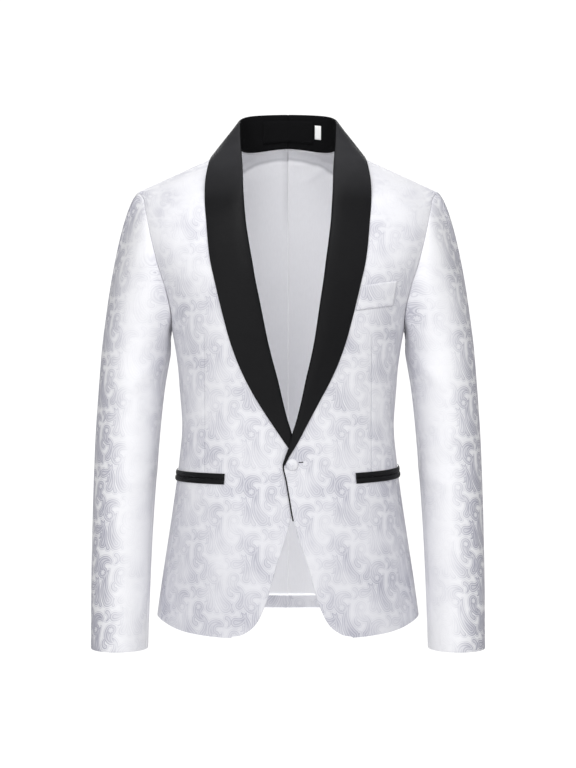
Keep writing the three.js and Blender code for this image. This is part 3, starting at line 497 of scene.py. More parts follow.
def curled_leaf(place, bulb, tip, bend, radius, taper):
    """Millimetres outside a paisley leaf, negative within. Its spine is the arc from bulb to tip, and a
    point's distance to the spine is less the radius there, radius * (1 - share of the arc)^taper."""
    (bx, by), (tx, ty) = bulb, tip
    chord = math.hypot(tx - bx, ty - by)
    middle = (bx + tx) / 2, (by + ty) / 2
    bow = (chord * chord / 4 + bend * bend) / (2 * abs(bend))
    way = math.copysign(1, bend)
    out_x, out_y = way * (by - ty) / chord, way * (tx - bx) / chord
    half_turn = math.asin(min(1, chord / 2 / bow))
    half_turn = math.pi - half_turn if abs(bend) > bow else half_turn
    side = 1 if (bx - middle[0]) * out_y - (by - middle[1]) * out_x > 0 else -1
    x, y = repeated(place, middle)
    out = x * out_x + y * out_y + (bow - abs(bend))
    across = y * out_x - x * out_y
    share = (across.maths("ARCTAN2", out) * side).rises(-half_turn, half_turn)
    angle = (share - 0.5) * (2 * half_turn * side)
    dx, dy = out - angle.maths("COSINE") * bow, across - angle.maths("SINE") * bow
    return (dx * dx + dy * dy).maths("SQRT") - (1 - share) ** taper * radius


def rosette(place, at, radius):
    """Millimetres outside a round flower, and the same with its seven petals."""
    x, y = repeated(place, at)
    round_it = (x * x + y * y).maths("SQRT") - radius
    petals = (y.maths("ARCTAN2", x) * 7).maths("COSINE")
    return round_it, (round_it + petals * 0.9).maths("ABSOLUTE") - 1.6


def white_jacquard():
    """White satin ground with the figure woven matt in lavender grey: paisley leaves with nested outlines,
    a cosine of the distance outside the leaves. The figure shows most where the cloth turns to the sides
    of the arms and least on the upper chest: a painted highlight washes it out where the cloth faces the
    front. A painted shade makes the body a little darker than the sleeves, more towards the hem."""
    finish = Finish("white_jacquard", Sheen_Weight=0.1, Sheen_Roughness=0.5, Specular_IOR_Level=0.45)
    cloth = finish.cloth()
    chart = [cloth.along(*way) * CHART_SCALE for way in ((1, 0, 0), (0, 1, 0))]
    outside = None
    for leaf in LEAVES:
        made = curled_leaf(chart, *leaf)
        outside = outside.maths("MINIMUM", made) if outside else made
    for at, radius in ROSETTES:
        round_it, flower = rosette(chart, at, radius)
        inner = round_it.rises(1.3, 1.1)
        outside = outside * (1 - inner) + flower * inner
    figure = outside.rises(0.3, -0.3)
    outline = (outside * (2 * math.pi / OUTLINE_STEP) + 0.9).maths("COSINE") * 0.5 + 0.5
    halo = (outside - 1.9).maths("ABSOLUTE").rises(0.95, 0.2) * (1 - figure)
    thread = cloth.ribs(0.9, 1.4) * figure + cloth.ribs(1.1, -0.5) * (1 - figure)
    slub = finish.cloud(cloth.vector("MULTIPLY", (0.2, 1, 1)), 1.6)
    dye = finish.cloud(cloth, 60)

    spot = finish.spot()
    beside, up = spot.along(1, 0, 0).maths("ABSOLUTE"), spot.along(0, 0, 1)
    # Painted highlight: the figure fades where lamplight would wash it out and shows most on the arms'
    # outer sides; the dye cloud varies it at random.
    sleeve = beside.rises(178, 196)
    arm_side_out_of_highlight = (beside + up.rises(-230, -70) * 36).rises(224, 262)
    figure_dye_and_painted_highlight = sleeve * (arm_side_out_of_highlight * 1.3 - 0.1) + (1 - sleeve) * (up.rises(-80, -230) * 0.24) + 0.2
    figure_dye_and_painted_highlight = (figure_dye_and_painted_highlight + (dye - 0.5) * (1.7 - sleeve * 0.9)).maths("MAXIMUM", 0.08)
    dart = (beside - DART_AT).maths("ABSOLUTE").rises(1.5, 0.2) * spot.along(0, 1, 0).rises(0, -10)
    dart = dart * up.rises(-262, -285) * up.rises(-468, -462)
    # Painted shade: the body is darker than the sleeves, more so towards the hem.
    painted_body_shade = (1 - sleeve) * (up.rises(-400, -600) * 0.14 + 0.13)
    tone = (figure * (outline * 0.6 + 0.3) + halo * 0.45) * figure_dye_and_painted_highlight + dart * 0.12
    tone = tone + (slub - 0.5) * 0.08 + (dye - 0.45) * 0.4 + painted_body_shade
    colour = finish.blend(tone, (0.855, 0.855, 0.885, 1), (0.40, 0.40, 0.475, 1))
    height = (0.6 - outline * 0.35) * figure + thread * 0.12 + slub * 0.1 - dart * 2
    return finish.feed(colour, figure * 0.16 + 0.36, height, 0.2)


def lining_satin():
    """Plain light grey lining satin with a fine weave. It is shaded under the collar, down to a curved
    crease below the neck, and on the wearer's right of the centre pleat."""
    finish = Finish("lining_satin", Sheen_Weight=0.1)
    place = finish.cloth()
    slub = finish.cloud(place.vector("MULTIPLY", (1, 0.2, 1)), 2.0)
    ripple = finish.cloud(place.vector("MULTIPLY", (1, 0.5, 1)), 30)
    spot = finish.spot()
    x, up = spot.along(1, 0, 0), spot.along(0, 0, 1)
    above = up + x * x * 0.0045 + x.rises(-30, 30) * 2 + ripple * 6 + 5
    crease = above.maths("ABSOLUTE").rises(3.5, 0.3)
    pleat = x.rises(-10, -0.5) * x.rises(0.8, -0.2) * up.rises(-125, -70)
    shade = above.rises(-5, 4) * 0.75 + crease * 0.5 + pleat * 0.3
    colour = finish.blend((1 - slub) * 0.18 + shade, (0.89, 0.89, 0.92, 1), (0.50, 0.50, 0.53, 1))
    height = place.ribs(0.8, 1.2) * 0.06 + slub * 0.15 + ripple * 1.6
    return finish.feed(colour, slub * 0.12 + 0.36, height, 0.6)


jacquard = white_jacquard()
satin_lining = lining_satin()

WAIST_LEVEL = 6  # the hem's curve fades out up to here
LOWEST = level_at(0, HEM_LOW)
TOP_LOW = 8  # from here up the side panel's rows are pulled to the armhole
SIDE_TURN = 68
ROW_STEP = 4.6


def hemmed(row, turn):
    """The level of a row, squeezed below the waist so that the lowest row follows the hem."""
    hem = level_at(0, hem_height(turn))
    low = hem + (row - LOWEST) * (WAIST_LEVEL - hem) / (WAIST_LEVEL - LOWEST)
    return np.where(row >= WAIST_LEVEL, row, low)


def crossing(difference):
    """Where a falling difference reaches 0, between the armpit and two levels above it, by halving."""
    low = np.float64(ARMHOLE[0][0])
    high = low + 2
    for _ in range(40):
        middle = (low + high) / 2
        falling = difference(middle) > 0
        low, high = np.where(falling, middle, low), np.where(falling, high, middle)
    return low


def even_rows(first, last):
    """Levels from first to last that lie about a row's step apart on the cloth at one turn."""
    fine = np.linspace(first, last, 2000)
    path = body_form(np.full(2000, 50.0), fine)
    run = np.concatenate([[0], np.cumsum(np.linalg.norm(np.diff(path, axis=0), axis=-1))])
    return np.interp(np.linspace(0, run[-1], max(2, round(run[-1] / ROW_STEP) + 1)), run, fine)


def edged(count):
    """Even shares from 0 to 1, with a few more close to both ends for the turned edges."""
    return np.concatenate([[0, 0.004, 0.012], np.linspace(0.026, 0.974, count), [0.988, 0.996, 1]])


FRONT_JUNCTION = float(crossing(lambda level: armhole_front(level) - SIDE_TURN))


def hem_rows():
    """Rows from the lowest point up to the armhole's foot, closer together at the cutaway corner."""
    above = np.array([0, 0.3, 0.9, 1.7, 2.9, 4.5, 6.5, 9, 12])
    corner = level_at(0, HEM_LOW + above)
    return np.concatenate([corner, even_rows(level_at(0, -671), TOP_LOW)])


def front_place(side):
    """A front's grid. Each row runs from the free edge, found by stepping because its height depends on
    the turn, to the side seam and above it the armhole. Above the button the edge is 1 mm further out,
    under the collar's roll."""
    low = [hem_rows(), even_rows(TOP_LOW, FRONT_JUNCTION)[1:]]
    high = [even_rows(FRONT_JUNCTION, RIDGE_LEVEL - 0.1)[1:], [RIDGE_LEVEL - 0.05, RIDGE_LEVEL]]
    rows = np.concatenate(low + high)
    inner = np.full(len(rows), 20.0)
    for _ in range(40):
        level = hemmed(rows, inner)
        z = body_form(inner, level)[..., 2]
        edge = front_edge(z) + smoothstep(z, -456, -436) + side * closure_line(z)
        inner = lerp(inner, turn_at(edge, level), 0.6)
    outer = np.where(rows > FRONT_JUNCTION, armhole_front(rows), SIDE_TURN - SEAM_GAP / 4)
    turn = lerp(inner[:, None], outer[:, None], edged(46)[None])
    points, normals = body_place(side, turn, hemmed(rows[:, None], turn))
    points[-1, :, 1] -= SEAM_GAP / 2
    return points, normals, rows


fronts, sides, backs = {}, {}, {}
for name, side in SIDES.items():
    points, normals, rows = front_place(side)
    fronts[name] = points, normals, rows
    piece = wall(f"front_{name}_cloth", (points, normals), CLOTH, side, (jacquard, satin_lining),
                 grain=22, start=60, across=(1, 0, 0), origin=(0.013 * side, 0.021))
    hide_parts(f"front_{name}")

# The side panels
# Narrow panels of the same cloth from the hem to the underarm, between front and back.
# Each is sewn to both and gives the jacket its waist.
BACK_SIDE_SEAM = [(0, 113), (3, 115), (6, 121), (9, 118), (11, 116)]  # level, turn
back_side_seam = through(BACK_SIDE_SEAM)
BACK_JUNCTION = float(crossing(lambda level: back_side_seam(level) - armhole_back(level)))


def side_place(side):
    """A side panel's grid: its top rows are pulled up to the armhole's curve under the arm."""
    share = edged(20)[None]
    start = SIDE_TURN + SEAM_GAP / 4
    rows = np.concatenate([hem_rows(), even_rows(TOP_LOW, FRONT_JUNCTION)[1:]])[:, None]
    across = lerp(start, back_side_seam(BACK_JUNCTION), share)
    under_front = crossing(lambda level: armhole_front(level) - across)
    under_back = crossing(lambda level: across - armhole_back(level))
    top = np.where(across < 90, under_front, under_back)
    up = np.maximum(0, rows - TOP_LOW) / (FRONT_JUNCTION - TOP_LOW)
    level = np.where(rows > TOP_LOW, lerp(TOP_LOW, top, up), rows)
    turn = lerp(start, back_side_seam(level) - SEAM_GAP / 4, share)
    return body_place(side, turn, hemmed(level, turn))


for name, side in SIDES.items():
    sides[name] = side_place(side)
    piece = wall(f"side_{name}_cloth", sides[name], CLOTH, side, (jacquard, satin_lining),
                 grain=12, start=60, origin=(0.03 + 0.02 * side, 0.04))
    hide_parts(f"side_{name}")

# The back
# Two panels joined down the middle, plain and without vents, from the hem to the shoulders and neck.
# A satin lining hangs just inside and stops above the hem, so a strip of the turned-up cloth shows.
LIFT = 0.35  # the gap between two layers
LINING = 1.0
LINING_LOWEST = 1.0006  # level
NECK_EDGE = 70.6
NECK_CURVE = 2.2
LINING_FOLDS = [  # as the body's folds
    (168, -13, 1, 0.12, 60, 4.5, 3.6),
    (150, -22, 0.9, -0.34, 70, 6, 4.2),
    (158, -120, 0.2, 1, 160, 22, 1.2),
]
BACK_NECK_LEVEL = float(level_at(0, 5.0))
back_rows = np.concatenate([
    hem_rows(),
    even_rows(TOP_LOW, BACK_JUNCTION)[1:],
    even_rows(BACK_JUNCTION, BACK_NECK_LEVEL)[1:],
    lerp(BACK_NECK_LEVEL, RIDGE_LEVEL, np.linspace(0, 1, 14)[1:] ** 1.6),
])


def back_place(side):
    """A back panel's grid, from the side seam and armhole to the centre back and above it the neck curve,
    whose distance from the middle is the neck edge's times the square root of 1 - (1 - up)^2.2."""
    up = np.maximum(0, back_rows - BACK_NECK_LEVEL) / (RIDGE_LEVEL - BACK_NECK_LEVEL)
    inner_x = np.maximum(SEAM_GAP / 2, NECK_EDGE * np.sqrt(1 - (1 - up) ** NECK_CURVE))
    inner = (180 - turn_at(inner_x, back_rows))[:, None]

    def seam(level):
        """The turn of the panel's outer edge."""
        above = back_rows[:, None] > BACK_JUNCTION
        return np.where(above, armhole_back(level), back_side_seam(level) + SEAM_GAP / 4)

    share = edged(46)[None]
    turn = lerp(seam(back_rows[:, None]), inner, share)
    level = hemmed(back_rows[:, None], turn)
    return body_place(side, lerp(seam(level), inner, share), level)


def lining_place(side, points, normals):
    """The lining's grid, a little inside the back's. The ease pleat down the middle is a bell, exp(-x^2),
    and it and the folds under the collar are stronger on the wearer's left."""
    first = int(np.argmax(back_rows > LINING_LOWEST))
    points, normals = points[first:], normals[first:]
    x, z = points[..., 0], points[..., 2]
    pleat_depth, fold_share = (1.5, 1.3) if side > 0 else (0.525, 0.8)
    pleat = pleat_depth * np.exp(-((x / 9) ** 2)) * (1 - 0.7 * smoothstep(z, -60, -150))
    turn = np.degrees(np.arctan2(x, -points[..., 1]))
    folds = fold_depth(LINING_FOLDS, turn, z, 1.9)
    near_neck = smoothstep(z, 8, -4) * smoothstep(x, 92, 75)
    rise = fold_share * near_neck * np.maximum(folds, 0)
    rise = rise + pleat * smoothstep(z, -640, -600) * smoothstep(z, 6, 0)
    return points - normals * (CLOTH + LIFT + rise)[..., None], normals


for name, side in SIDES.items():
    points, normals = back_place(side)
    points[-1, :, 1] += SEAM_GAP / 2
    backs[name] = points, normals
    piece = wall(f"back_{name}_cloth", (points, normals), CLOTH, side, (jacquard, jacquard),
                 grain=24, start=60, across=(-1, 0, 0), origin=(0.02 * side, 0.01))
    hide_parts(f"back_{name}")
    piece = wall(f"lining_back_{name}_satin", lining_place(side, points, normals), LINING, side,
                 (satin_lining,), grain=24, start=60, across=(-1, 0, 0))
    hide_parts(f"lining_back_{name}")

# The sleeves
# Two-piece sleeves of the jacket's cloth, set into the armholes and hanging a little forward.
# The upper piece goes round the outside of the arm and the under piece fills in beneath it.
SLEEVE_RINGS = [  # height, middle and half width across, middle and half width from front to back
    (-708, 235.1, 39.8, -62, 48), (-680, 235.1, 40.2, -56, 48.3), (-620, 234.9, 41.4, -44, 49.5),
    (-560, 233.9, 42.4, -33, 51.5), (-500, 232.2, 43.7, -22, 54), (-420, 228.7, 45.6, -8, 58),
    (-350, 223.4, 47, -1, 62), (-300, 217.5, 49.3, 2, 64),
]
SLEEVE_FOLDS = [  # as the body's folds, with the turn round the arm
    (110, -330, 0.8, 0.6, 80, 12, 2.2),
    (120, -430, 0.9, -0.4, 70, 13, 2.0),
    (135, -470, 0.95, 0.3, 70, 12, 2.0),
    (300, -360, 0.3, 0.95, 140, 16, 2.0),
    (60, -600, 0.2, 1, 120, 14, -1.4),
]
CAP_END, CUFF = -300, -708
CAP_SHARE = 0.34  # the cap's share of the rows
FRONT_SEAM, BACK_SEAM = 162.26, 261.05
SLEEVE_PARTS = {  # first and last turn, grain column, flat cut and its area
    "top": (BACK_SEAM, FRONT_SEAM + 360, 36, (0.28, 0.66), 0.135),
    "under": (FRONT_SEAM, BACK_SEAM, 14, (0.145, 0.54), 0.043),
}
UNDERARM = np.array([195, 5, -165])
ring_x, ring_half_x, ring_y, ring_half_y = (through(SLEEVE_RINGS, column) for column in range(1, 5))


def armhole_loop(name):
    """The armhole as one loop of the panels' own points, down the front from the shoulder point, under
    the arm and up the back, with the way out of the cloth and the way into the hole at each."""
    points, normals, rows = fronts[name]
    down = [part[rows >= FRONT_JUNCTION - 1e-6, -1][::-1] for part in (points, normals)]
    under = [part[-1, 1:-1] for part in sides[name]]
    keep = (back_rows >= BACK_JUNCTION - 1e-6) & (back_rows < RIDGE_LEVEL - 0.01)
    rise = [part[keep, 0] for part in backs[name]]
    loop, ways = (np.concatenate([down[k], under[k], rise[k]]) for k in (0, 1))
    run = np.concatenate([[0], np.cumsum(np.linalg.norm(np.diff(loop, axis=0), axis=-1))])
    total = run[-1] + np.linalg.norm(loop[-1] - loop[0])
    even = np.linspace(0, total, 97)[:-1]
    closed = np.concatenate([run, [total]])

    def spaced(part):
        """The points or ways at even steps round the loop, by straight lines between them."""
        turned = [np.interp(even, closed, np.append(part[:, k], part[0, k])) for k in range(3)]
        return np.stack(turned, -1)

    loop, ways = spaced(loop), unit(spaced(ways))
    into = unit(np.cross(unit(np.roll(loop, -1, 0) - np.roll(loop, 1, 0)), ways))
    towards = ((UNDERARM - loop) * into).sum(-1, keepdims=True)
    return loop, ways, np.where(towards < 0, -into, into), 360 * even / total


def sleeve_ring(degrees, z):
    """An oval round the arm, turned from its outer side to its front."""
    x = ring_x(z) + ring_half_x(z) * np.cos(np.radians(degrees))
    y = ring_y(z) - ring_half_y(z) * np.sin(np.radians(degrees))
    return np.stack(np.broadcast_arrays(x, y, z), -1)


def sleeve_place(name):
    """The sleeve's grid, one column below each place of the armhole: a cap that leaves it and curves to
    the upper arm as a cubic with given slopes at both ends, then the oval rings down to the cuff."""
    loop, ways, into, degrees = armhole_loop(name)
    rows = np.concatenate([[0, 0.004, 0.012], np.linspace(0.025, 0.985, 136), [0.993, 0.998, 1]])
    cosine, sine = np.cos(np.radians(degrees)), np.sin(np.radians(degrees))
    top = (1 + cosine) / 2
    under = smoothstep(-cosine, 0.3, 0.9)
    leave = np.stack([8 + 66 * top**0.7, -20 * sine, -(28 + 34 * top)], -1)
    end = sleeve_ring(degrees, float(CAP_END))
    start = loop + into * 0.1 - ways * 0.25 * (1 - under[:, None]) + ways * 0.6 * under[:, None]
    length = np.linalg.norm(end - start, axis=-1, keepdims=True)
    arrive = (sleeve_ring(degrees, CAP_END - 1.0) - end) * 0.85 * length
    t = np.minimum(rows / CAP_SHARE, 1)[:, None, None]
    s = t * t * (3 - 2 * t)
    cap = start * (1 - s) + end * s + leave * t * (1 - t) ** 2 - arrive * t * t * (1 - t)
    z = lerp(CAP_END, CUFF, np.clip((rows - CAP_SHARE) / (1 - CAP_SHARE), 0, 1))[:, None]
    tube = sleeve_ring(degrees[None], z)
    base = np.where((rows >= CAP_SHARE)[:, None, None], tube, cap)
    around = np.roll(base, -1, 1) - np.roll(base, 1, 1)
    normals = unit(np.cross(around, np.gradient(base, axis=0)))
    away = np.stack([cosine, -sine, np.full(len(degrees), 0.2)], -1)
    normals = np.where((normals * away).sum(-1, keepdims=True) < 0, -normals, normals)
    fade = (smoothstep(rows, 0.1, 0.3) * (1 - smoothstep(rows, 0.94, 1)))[:, None]
    folds = fold_depth(SLEEVE_FOLDS, degrees[None], base[..., 2], 0.9) * fade
    return base + normals * folds[..., None], normals, degrees


def between(part, degrees, first, last):
    """The columns of the sleeve between two seams, with one more put in at each seam itself."""
    turns = np.concatenate([degrees, degrees + 360, degrees + 720])
    tripled = np.concatenate([part, part, part], 1)
    want = turns[(turns > first + 1.4) & (turns < last - 1.4)]
    want = np.concatenate([[first + 0.14, first + 0.5], want, [last - 0.5, last - 0.14]])
    spot = np.clip(np.searchsorted(turns, want) - 1, 0, len(turns) - 2)
    share = ((want - turns[spot]) / (turns[spot + 1] - turns[spot]))[None, :, None]
    return lerp(tripled[:, spot], tripled[:, spot + 1], share)


for name, side in SIDES.items():
    points, normals, degrees = sleeve_place(name)
    for part, (first, last, grain, flat, area) in SLEEVE_PARTS.items():
        place = between(points, degrees, first, last), unit(between(normals, degrees, first, last))
        piece = wall(f"sleeve_{part}_{name}_cloth", place, CLOTH, side, (jacquard, satin_lining),
                     grain=grain, start=120, origin=(0.01 * side, 0.03))
        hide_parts(f"sleeve_{part}_{name}")

# The collar
# A shawl collar of black satin, seamed at the centre back: a stand up from the neck seam, faced with matt
# black felt on the neck's side, a fold, and a leaf that lies on the fronts and rolls to the button.
SATIN = 1.2
STAND_ROWS, STAND_COLUMNS = 44, 14
LEAF_END = -453
NECK_STATIONS = [  # seam's distance from the middle or height, then the fold and the edge
    ((0, None), (0, 62, 53.4), (0, 86.5, -11)),
    ((28, None), (29, 59, 52.4), (40, 84, -12)),
    ((52, None), (55, 46, 48.6), (76, 71, -13)),
    ((66, None), (67, 28, 42), (98, 44, -13.5)),
    ((70.4, None), (69.6, 9, 33.6), (107, 7, -12.5)),
    ((None, -14), (69, -9, 15.5), (111, -22, -22.5)),
    ((None, -29), (67.6, -30, -7.5), (114, -43, -39)),
    ((None, -50), (65.4, -55, -34), (116, -63, -60.5)),
]
LAPEL_STATIONS = np.array([  # heights of the fold and of the edge across from it
    (-82, -90), (-115, -124), (-150, -160), (-198, -208), (-253, -264), (-307, -317),
    (-350, -357), (-389, -394), (-420, -422), (-437, -437.5), (-452, -452),
])
LAPEL_SECTION = np.array([  # share of the leaf, distance beside that, off the cloth, more where wide
    (0, -1.1, -1.2, 0), (0, -1.2, -0.2, 0), (0, -0.9, 0.7, 0.3), (0, 0.7, 1.25, 1), (0.1, 0, 1.3, 1.9),
    (0.26, 0, 1.3, 2.2), (0.48, 0, 1.25, 1.5), (0.74, 0, 1.35, 0.6), (1, 0, 1.4, 0),
])
COLLAR_EDGE = [  # height, distance from the button line
    (LEAF_END, -10.8), (-441, -4.3), (-426, 5.6), (-394, 25), (-362, 43.6), (-334, 58.6), (-307, 70.4),
    (-280, 79.8), (-253, 87.2), (-225, 94.2), (-198, 100.5), (-170, 106.7), (-142, 110.2), (-114, 112.7),
    (-85, 115.2), (-60, 115),
]
collar_edge = through(COLLAR_EDGE)
FOLD_RADIUS = 2.6


def black_satin_finish():
    """Black duchess satin: a deep black with a soft sheen, crossed by its fine ribs. A painted sheen makes
    it lighter, in broad patches, where the collar rolls over the shoulders."""
    finish = Finish("black_satin", Specular_IOR_Level=0.12)
    place = finish.cloth()
    slub = finish.cloud(place.vector("MULTIPLY", (0.15, 1, 1)), 1.4)
    ripple = finish.cloud(place, 26)
    # Painted sheen: lighter in broad patches up where the collar rolls over the shoulders.
    painted_sheen_on_roll = finish.spot().along(0, 0, 1).rises(-85, -20)
    tone = slub * 0.16 + painted_sheen_on_roll * (ripple * 0.5 + 0.45)
    colour = finish.blend(tone, (0.0035, 0.0035, 0.0042, 1), (0.028, 0.028, 0.031, 1))
    height = place.ribs(1.3, 0.7) * 0.07 + slub * 0.1 + ripple * 1.1
    return finish.feed(colour, slub * 0.14 + 0.4, height, 0.5)


def felt_finish():
    """Black undercollar felt, matt and short-haired."""
    finish = Finish("black_felt", Specular_IOR_Level=0.04)
    place = finish.cloth()
    hair = finish.cloud(place, 0.9)
    colour = finish.blend(hair, (0.003, 0.003, 0.0035, 1), (0.0065, 0.0065, 0.007, 1))
    return finish.feed(colour, hair * 0.2 + 0.75, hair + finish.cloud(place, 24), 0.4)


black_satin = black_satin_finish()
black_felt = felt_finish()


def path_through(points, t):
    """A smooth curve through points, one unit of t apart, of cubics whose slope at a point is half the
    step between its neighbours."""
    last = len(points) - 1
    i = np.clip(np.floor(t).astype(int), 0, last - 1)
    p0, p1, p2, p3 = (points[np.clip(i + k, 0, last)] for k in (-1, 0, 1, 2))
    f = (t - i).reshape(-1, *[1] * (points.ndim - 1))
    bend = f * (1 - f) ** 2 * (p2 - p0) / 2 - f * f * (1 - f) * (p3 - p1) / 2
    return lerp(p1, p2, f * f * (3 - 2 * f)) + bend


def neck_seam(side, seam_x, seam_z):
    """A point of the panels' neck edge, in the middle of the cloth and stepped off it into the neck."""

    def at(move):
        """A place on the neck edge, moved along it."""
        if seam_z is not None:
            return place_at(side, front_edge(seam_z + move), seam_z + move)
        x = min(seam_x + move, NECK_EDGE - 0.01)
        up = 1 - (1 - (x / NECK_EDGE) ** 2) ** (1 / NECK_CURVE)
        level = lerp(BACK_NECK_LEVEL, RIDGE_LEVEL, up)
        return body_place(side, 180 - turn_at(x, level), level)

    point, normal = at(0.0)
    along = unit(at(0.01)[0] - at(-0.01)[0])
    off = unit(np.cross(along, normal))
    off = -off if off @ (np.array([0, -10, 10]) - point) < 0 else off
    return point - normal * CLOTH / 2 + off * (1.9 if seam_z is None else 1.5)


def neck_section(side, seam, fold, edge):
    """Nine points across the collar at the neck: up the stand, over the fold and down the leaf, which
    bulges outwards by a sine."""
    seam, fold, edge = neck_seam(side, *seam), np.array(fold, float), np.array(edge, float)
    out = unit((edge - fold) * (1, 1, 0))
    inner = fold - out * FOLD_RADIUS * 0.6 - np.array([0, 0, FOLD_RADIUS * 1.4])
    outer = fold + out * FOLD_RADIUS * 0.9 - np.array([0, 0, FOLD_RADIUS * 0.5])
    shares = np.array([0.22, 0.46, 0.73])[:, None]
    leaf = lerp(outer, edge, shares) + out * 1.6 * np.sin(np.pi * shares)
    return [seam, lerp(seam, inner, 0.5), inner, fold, outer, *leaf, edge]


def lapel_place(side, fold, edge, section):
    """The collar on the chest: the leaf lies on the front between fold and edge, a little off it."""
    start = front_edge(fold) + side * closure_line(fold)
    finish = collar_edge(edge) + side * BUTTON_LINE * (1 - smoothstep(edge, LEAF_END, -350))
    full = np.minimum(1, (finish - start) / 45)
    across, beside, out, puff = section.T
    x, z = lerp(start, finish, across) + beside, lerp(fold, edge, across)
    return place_at(side, x, z, out + puff * full)[0]


def collar_place(side):
    """The collar's grid: sections by smooth curves along and across, laid on the front on the chest."""
    neck = [neck_section(side, *station) for station in NECK_STATIONS]
    chest = [lapel_place(side, *station, LAPEL_SECTION) for station in LAPEL_STATIONS]
    sections = np.array(neck + chest)
    chest_from, last = len(neck), len(sections) - 1
    t = np.concatenate([np.linspace(0, chest_from - 1, 50)[:-1], np.linspace(chest_from - 1, last, 111)])
    middle = [np.linspace(0.4, 4, 17), np.linspace(4.2, 7.8, 19)]
    c = np.concatenate([[0, 0.06, 0.2], *middle, [7.92, 7.97, 8]])
    rough = path_through(sections, t)
    smooth = np.swapaxes(path_through(np.swapaxes(rough, 0, 1), c), 0, 1)
    station = path_through(LAPEL_STATIONS, np.clip(t - chest_from, 0, last - chest_from))
    laid = lapel_place(side, station[:, :1], station[:, 1:], path_through(LAPEL_SECTION, c))
    points = lerp(smooth, laid, smoothstep(t, chest_from, chest_from + 1)[:, None, None])
    normals = unit(np.cross(np.gradient(points, axis=0), np.gradient(points, axis=1)))
    return points + normals * SATIN / 2, normals


for name, side in SIDES.items():
    points, normals = collar_place(side)
    piece = wall(f"collar_{name}_satin", (points, normals), SATIN, side, (black_satin,),
                 grain=20, start=60)
    piece.data.materials.append(black_felt)
    stand = np.zeros((points.shape[0] - 1, points.shape[1] - 1), np.int32)
    stand[:STAND_ROWS, :STAND_COLUMNS] = 1
    rest = np.zeros(len(piece.data.polygons) - stand.size, np.int32)
    piece.data.polygons.foreach_set("material_index", np.concatenate([stand.ravel(), rest]))
    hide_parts(f"collar_{name}")

# The facing
# A strip of the collar's black satin behind the left front's free edge, from the button to the cutaway.
# It is sewn to the edge and turned in, so a narrow line of it shows beside the white.
# The grid goes down the edge, and across from 1.9 mm outside it.
z = np.linspace(-450.5, -528, 42)[:, None]
x = front_edge(z) + closure_line(z) - 1.9 + np.linspace(0, 12, 12)[None]
place = place_at(1, x, z, -CLOTH - 1.3 * LIFT)
piece = wall("facing_left_satin", place, 0.9, 1, (black_satin,), grain=4)
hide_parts("facing_left")

# The hip pockets
# Two folded jets of black satin, one above the other, sewn round each slanting slit.
# Each jet is a rolled strip, full in the middle and flat where it is stitched.
# It runs along a straight slit and rises off the cloth by a flattened sine of the way across it.
HIP_POCKETS = {"left": (93, -470, -462), "right": (87, -471, -468)}
HIP_OUTER_TURN = 96
JET = 7.4
JET_GAP = 0.05
for name, side in SIDES.items():
    inner_x, inner_z, outer_z = HIP_POCKETS[name]
    inner_turn = turn_at(inner_x, level_at(0, inner_z))
    for row, way in (("upper", 1), ("lower", -1)):
        u, v = np.linspace(0, 1, 60)[None], np.linspace(0, 1, 13)[:, None]
        turn = lerp(inner_turn, HIP_OUTER_TURN, u) + 0 * v
        z = lerp(inner_z, outer_z, u) + way * (JET_GAP + v * JET)
        place = body_place(side, turn, level_at(0, z), 3 * LIFT + 0.9 + 1.1 * np.sin(np.pi * v) ** 0.7)
        piece = wall(f"hip_jet_{row}_{name}_satin", place, 1.1, side, (black_satin,), grain=4)
        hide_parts(f"hip_jet_{row}_{name}")

# The breast pocket
# A slanting welt of the jacket's cloth on the wearer's left chest, turned in all round.
# Its lower edge is seamed to the front and the short ends are stitched down.
# The grid is straight lines between its four corners, laid on the front.
WELT = 1.2
u, v = np.linspace(0, 1, 40)[None], np.linspace(0, 1, 16)[:, None]
x = lerp(lerp(93, 144.5, u), lerp(101.5, 150, u), v)
z = lerp(lerp(-239.5, -232, u), lerp(-205, -197.5, u), v)
piece = wall("breast_welt_cloth", place_at(1, x, z, 1.8 * LIFT + WELT), WELT, 1, (jacquard,), grain=20,
             across=(1, 0, 0), origin=(0.02, 0.07))
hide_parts("breast_welt")

# The button and buttonhole
# One shank button covered in the jacket's cloth, drawn over a domed shell and closed behind.
# Beside it the end of the buttonhole shows, worked in black twist.
# The shank and dome are one smooth profile, distance from the axis and y, turned round the axis.
BUTTON_HEIGHT = -450.6
BUTTON_STEPS, BUTTON_TURNS = 46, 48
over = float(place_at(1, BUTTON_LINE, BUTTON_HEIGHT)[0][1]) - 0.5
under = float(place_at(-1, -BUTTON_LINE, BUTTON_HEIGHT)[0][1]) - SEAM_GAP
profile = np.array([
    (0.01, under), (1.5, under), (1.5, over), (7.4, over), (8.0, over - 0.5), (8.2, over - 1.2),
    (8.0, over - 1.8), (6.7, over - 2.7), (3.7, over - 3.4), (0.01, over - 3.6),
])
section = path_through(profile, np.linspace(0, len(profile) - 1, BUTTON_STEPS))
angle = np.linspace(0, 2 * np.pi, BUTTON_TURNS + 1)[:-1, None]
x, z = BUTTON_LINE + section[:, 0] * np.cos(angle), BUTTON_HEIGHT + section[:, 0] * np.sin(angle)
verts = np.stack([x, section[:, 1] + 0 * angle, z], -1).reshape(-1, 3) / 1000
ids = np.arange(BUTTON_TURNS * BUTTON_STEPS).reshape(BUTTON_TURNS, BUTTON_STEPS)
after = np.roll(ids, -1, 0)
quads = np.stack([ids[:, :-1], after[:, :-1], after[:, 1:], ids[:, 1:]], -1).reshape(-1, 4)
faces = [*quads.tolist(), ids[::-1, 0].tolist(), ids[:, -1].tolist()]
piece = piece_from("button_covered", verts, faces, verts[:, [0, 2]] + (0.012, 0.031), (jacquard,))
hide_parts("button")

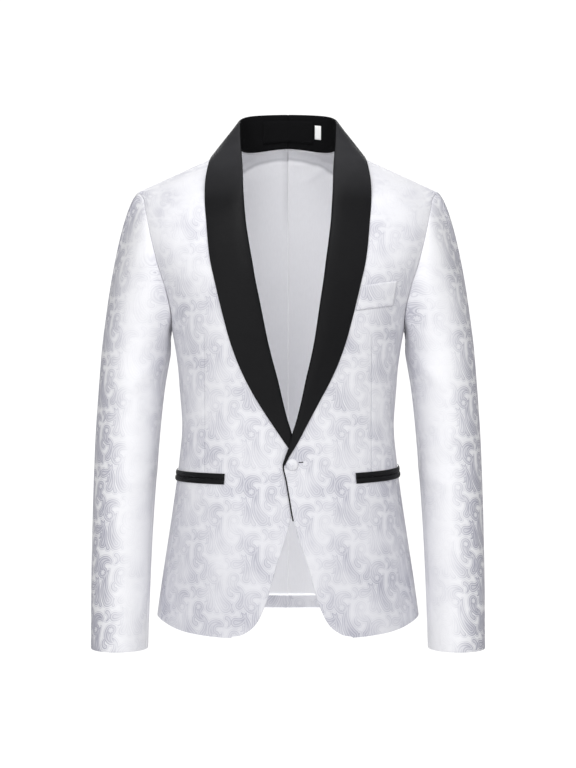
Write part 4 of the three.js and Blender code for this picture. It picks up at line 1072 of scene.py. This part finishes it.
# The twist's bar is 6.2 mm long, rises a little and widens at its far end by the fourth power of the way.
u, v = np.linspace(0, 1, 16)[None], np.linspace(-1, 1, 7)[:, None]
place = place_at(1, 14.6 + 6.2 * u, -447.6 + 0.6 * v * (1 + 0.6 * u**4) + 0.4 * u, 0.25)
piece = wall("buttonhole_twist", place, 0.5, 1, (black_felt,), grain=4)

# The labels
# A bare black woven label across the inside of the stand and a small white size tag beside it.
# Both are sewn down flat round their edges.
LABEL = 1.0


def tape_finish():
    """White woven tape with fine ribs across it."""
    finish = Finish("tag_tape", Roughness=0.7)
    rib = finish.cloth().ribs(math.inf, 0.8)
    colour = finish.blend(rib * 0.5 + 0.5, (0.8, 0.8, 0.79, 1), (0.88, 0.88, 0.88, 1))
    return finish.feed(colour, None, rib * 0.4, 0.2)


woven_white = tape_finish()


def label_place(first, last, low, high, columns):
    """A patch of the stand's inner face between two distances from the middle and two shares of the
    stand's height, moved out of it by two gaps and the label's thickness."""
    sections = path_through(np.array([neck_section(1, *station)[:3] for station in NECK_STATIONS]),
                            np.linspace(0, 4, 400))
    across = np.linspace(first, last, columns)
    lines = path_through(np.swapaxes(sections, 0, 1), np.linspace(2 * low, 2 * high, 10))
    points = np.stack([np.stack([np.interp(np.abs(across), line[:, 0], line[:, k]) for k in range(3)], -1)
                       for line in lines])
    points[..., 0] *= np.where(across < 0, -1, 1)
    normals = unit(np.cross(np.gradient(points, axis=0), np.gradient(points, axis=1)))
    normals = np.where(normals[..., 1:2] > 0, -normals, normals)
    return points + normals * (SATIN / 2 + 2 * LIFT + LABEL), normals


place = label_place(-37, 37, 0.24, 0.86, 61)
piece = wall("neck_label_satin", place, LABEL, 1, (black_felt,), grain=30)
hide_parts("neck_label")
place = label_place(40, 49, 0.38, 0.755, 12)
piece = wall("size_label_tape", place, LABEL, 1, (woven_white,), grain=6)
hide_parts("size_label")

# The floor
# A plain pale studio floor, well below the jacket's hem.
# It is painted, with the faintest mottle.
plane = bpy.data.meshes.new("floor")
plane.from_pydata([(-2, -2, -1.45), (2, -2, -1.45), (2, 2, -1.45), (-2, 2, -1.45)], [], [(0, 1, 2, 3)])
paint = Finish("floor_paint", Roughness=0.6)
spot = paint.node("ShaderNodeTexCoord", {}, [], 3)
mottle = paint.node("ShaderNodeTexNoise", {}, {"Vector": spot, "Scale": 3.0})
plane.materials.append(paint.feed(paint.blend(mottle, (0.78, 0.78, 0.78, 1), (0.84, 0.84, 0.84, 1))))
floor = bpy.data.objects.new("floor", plane)
scene.collection.objects.link(floor)
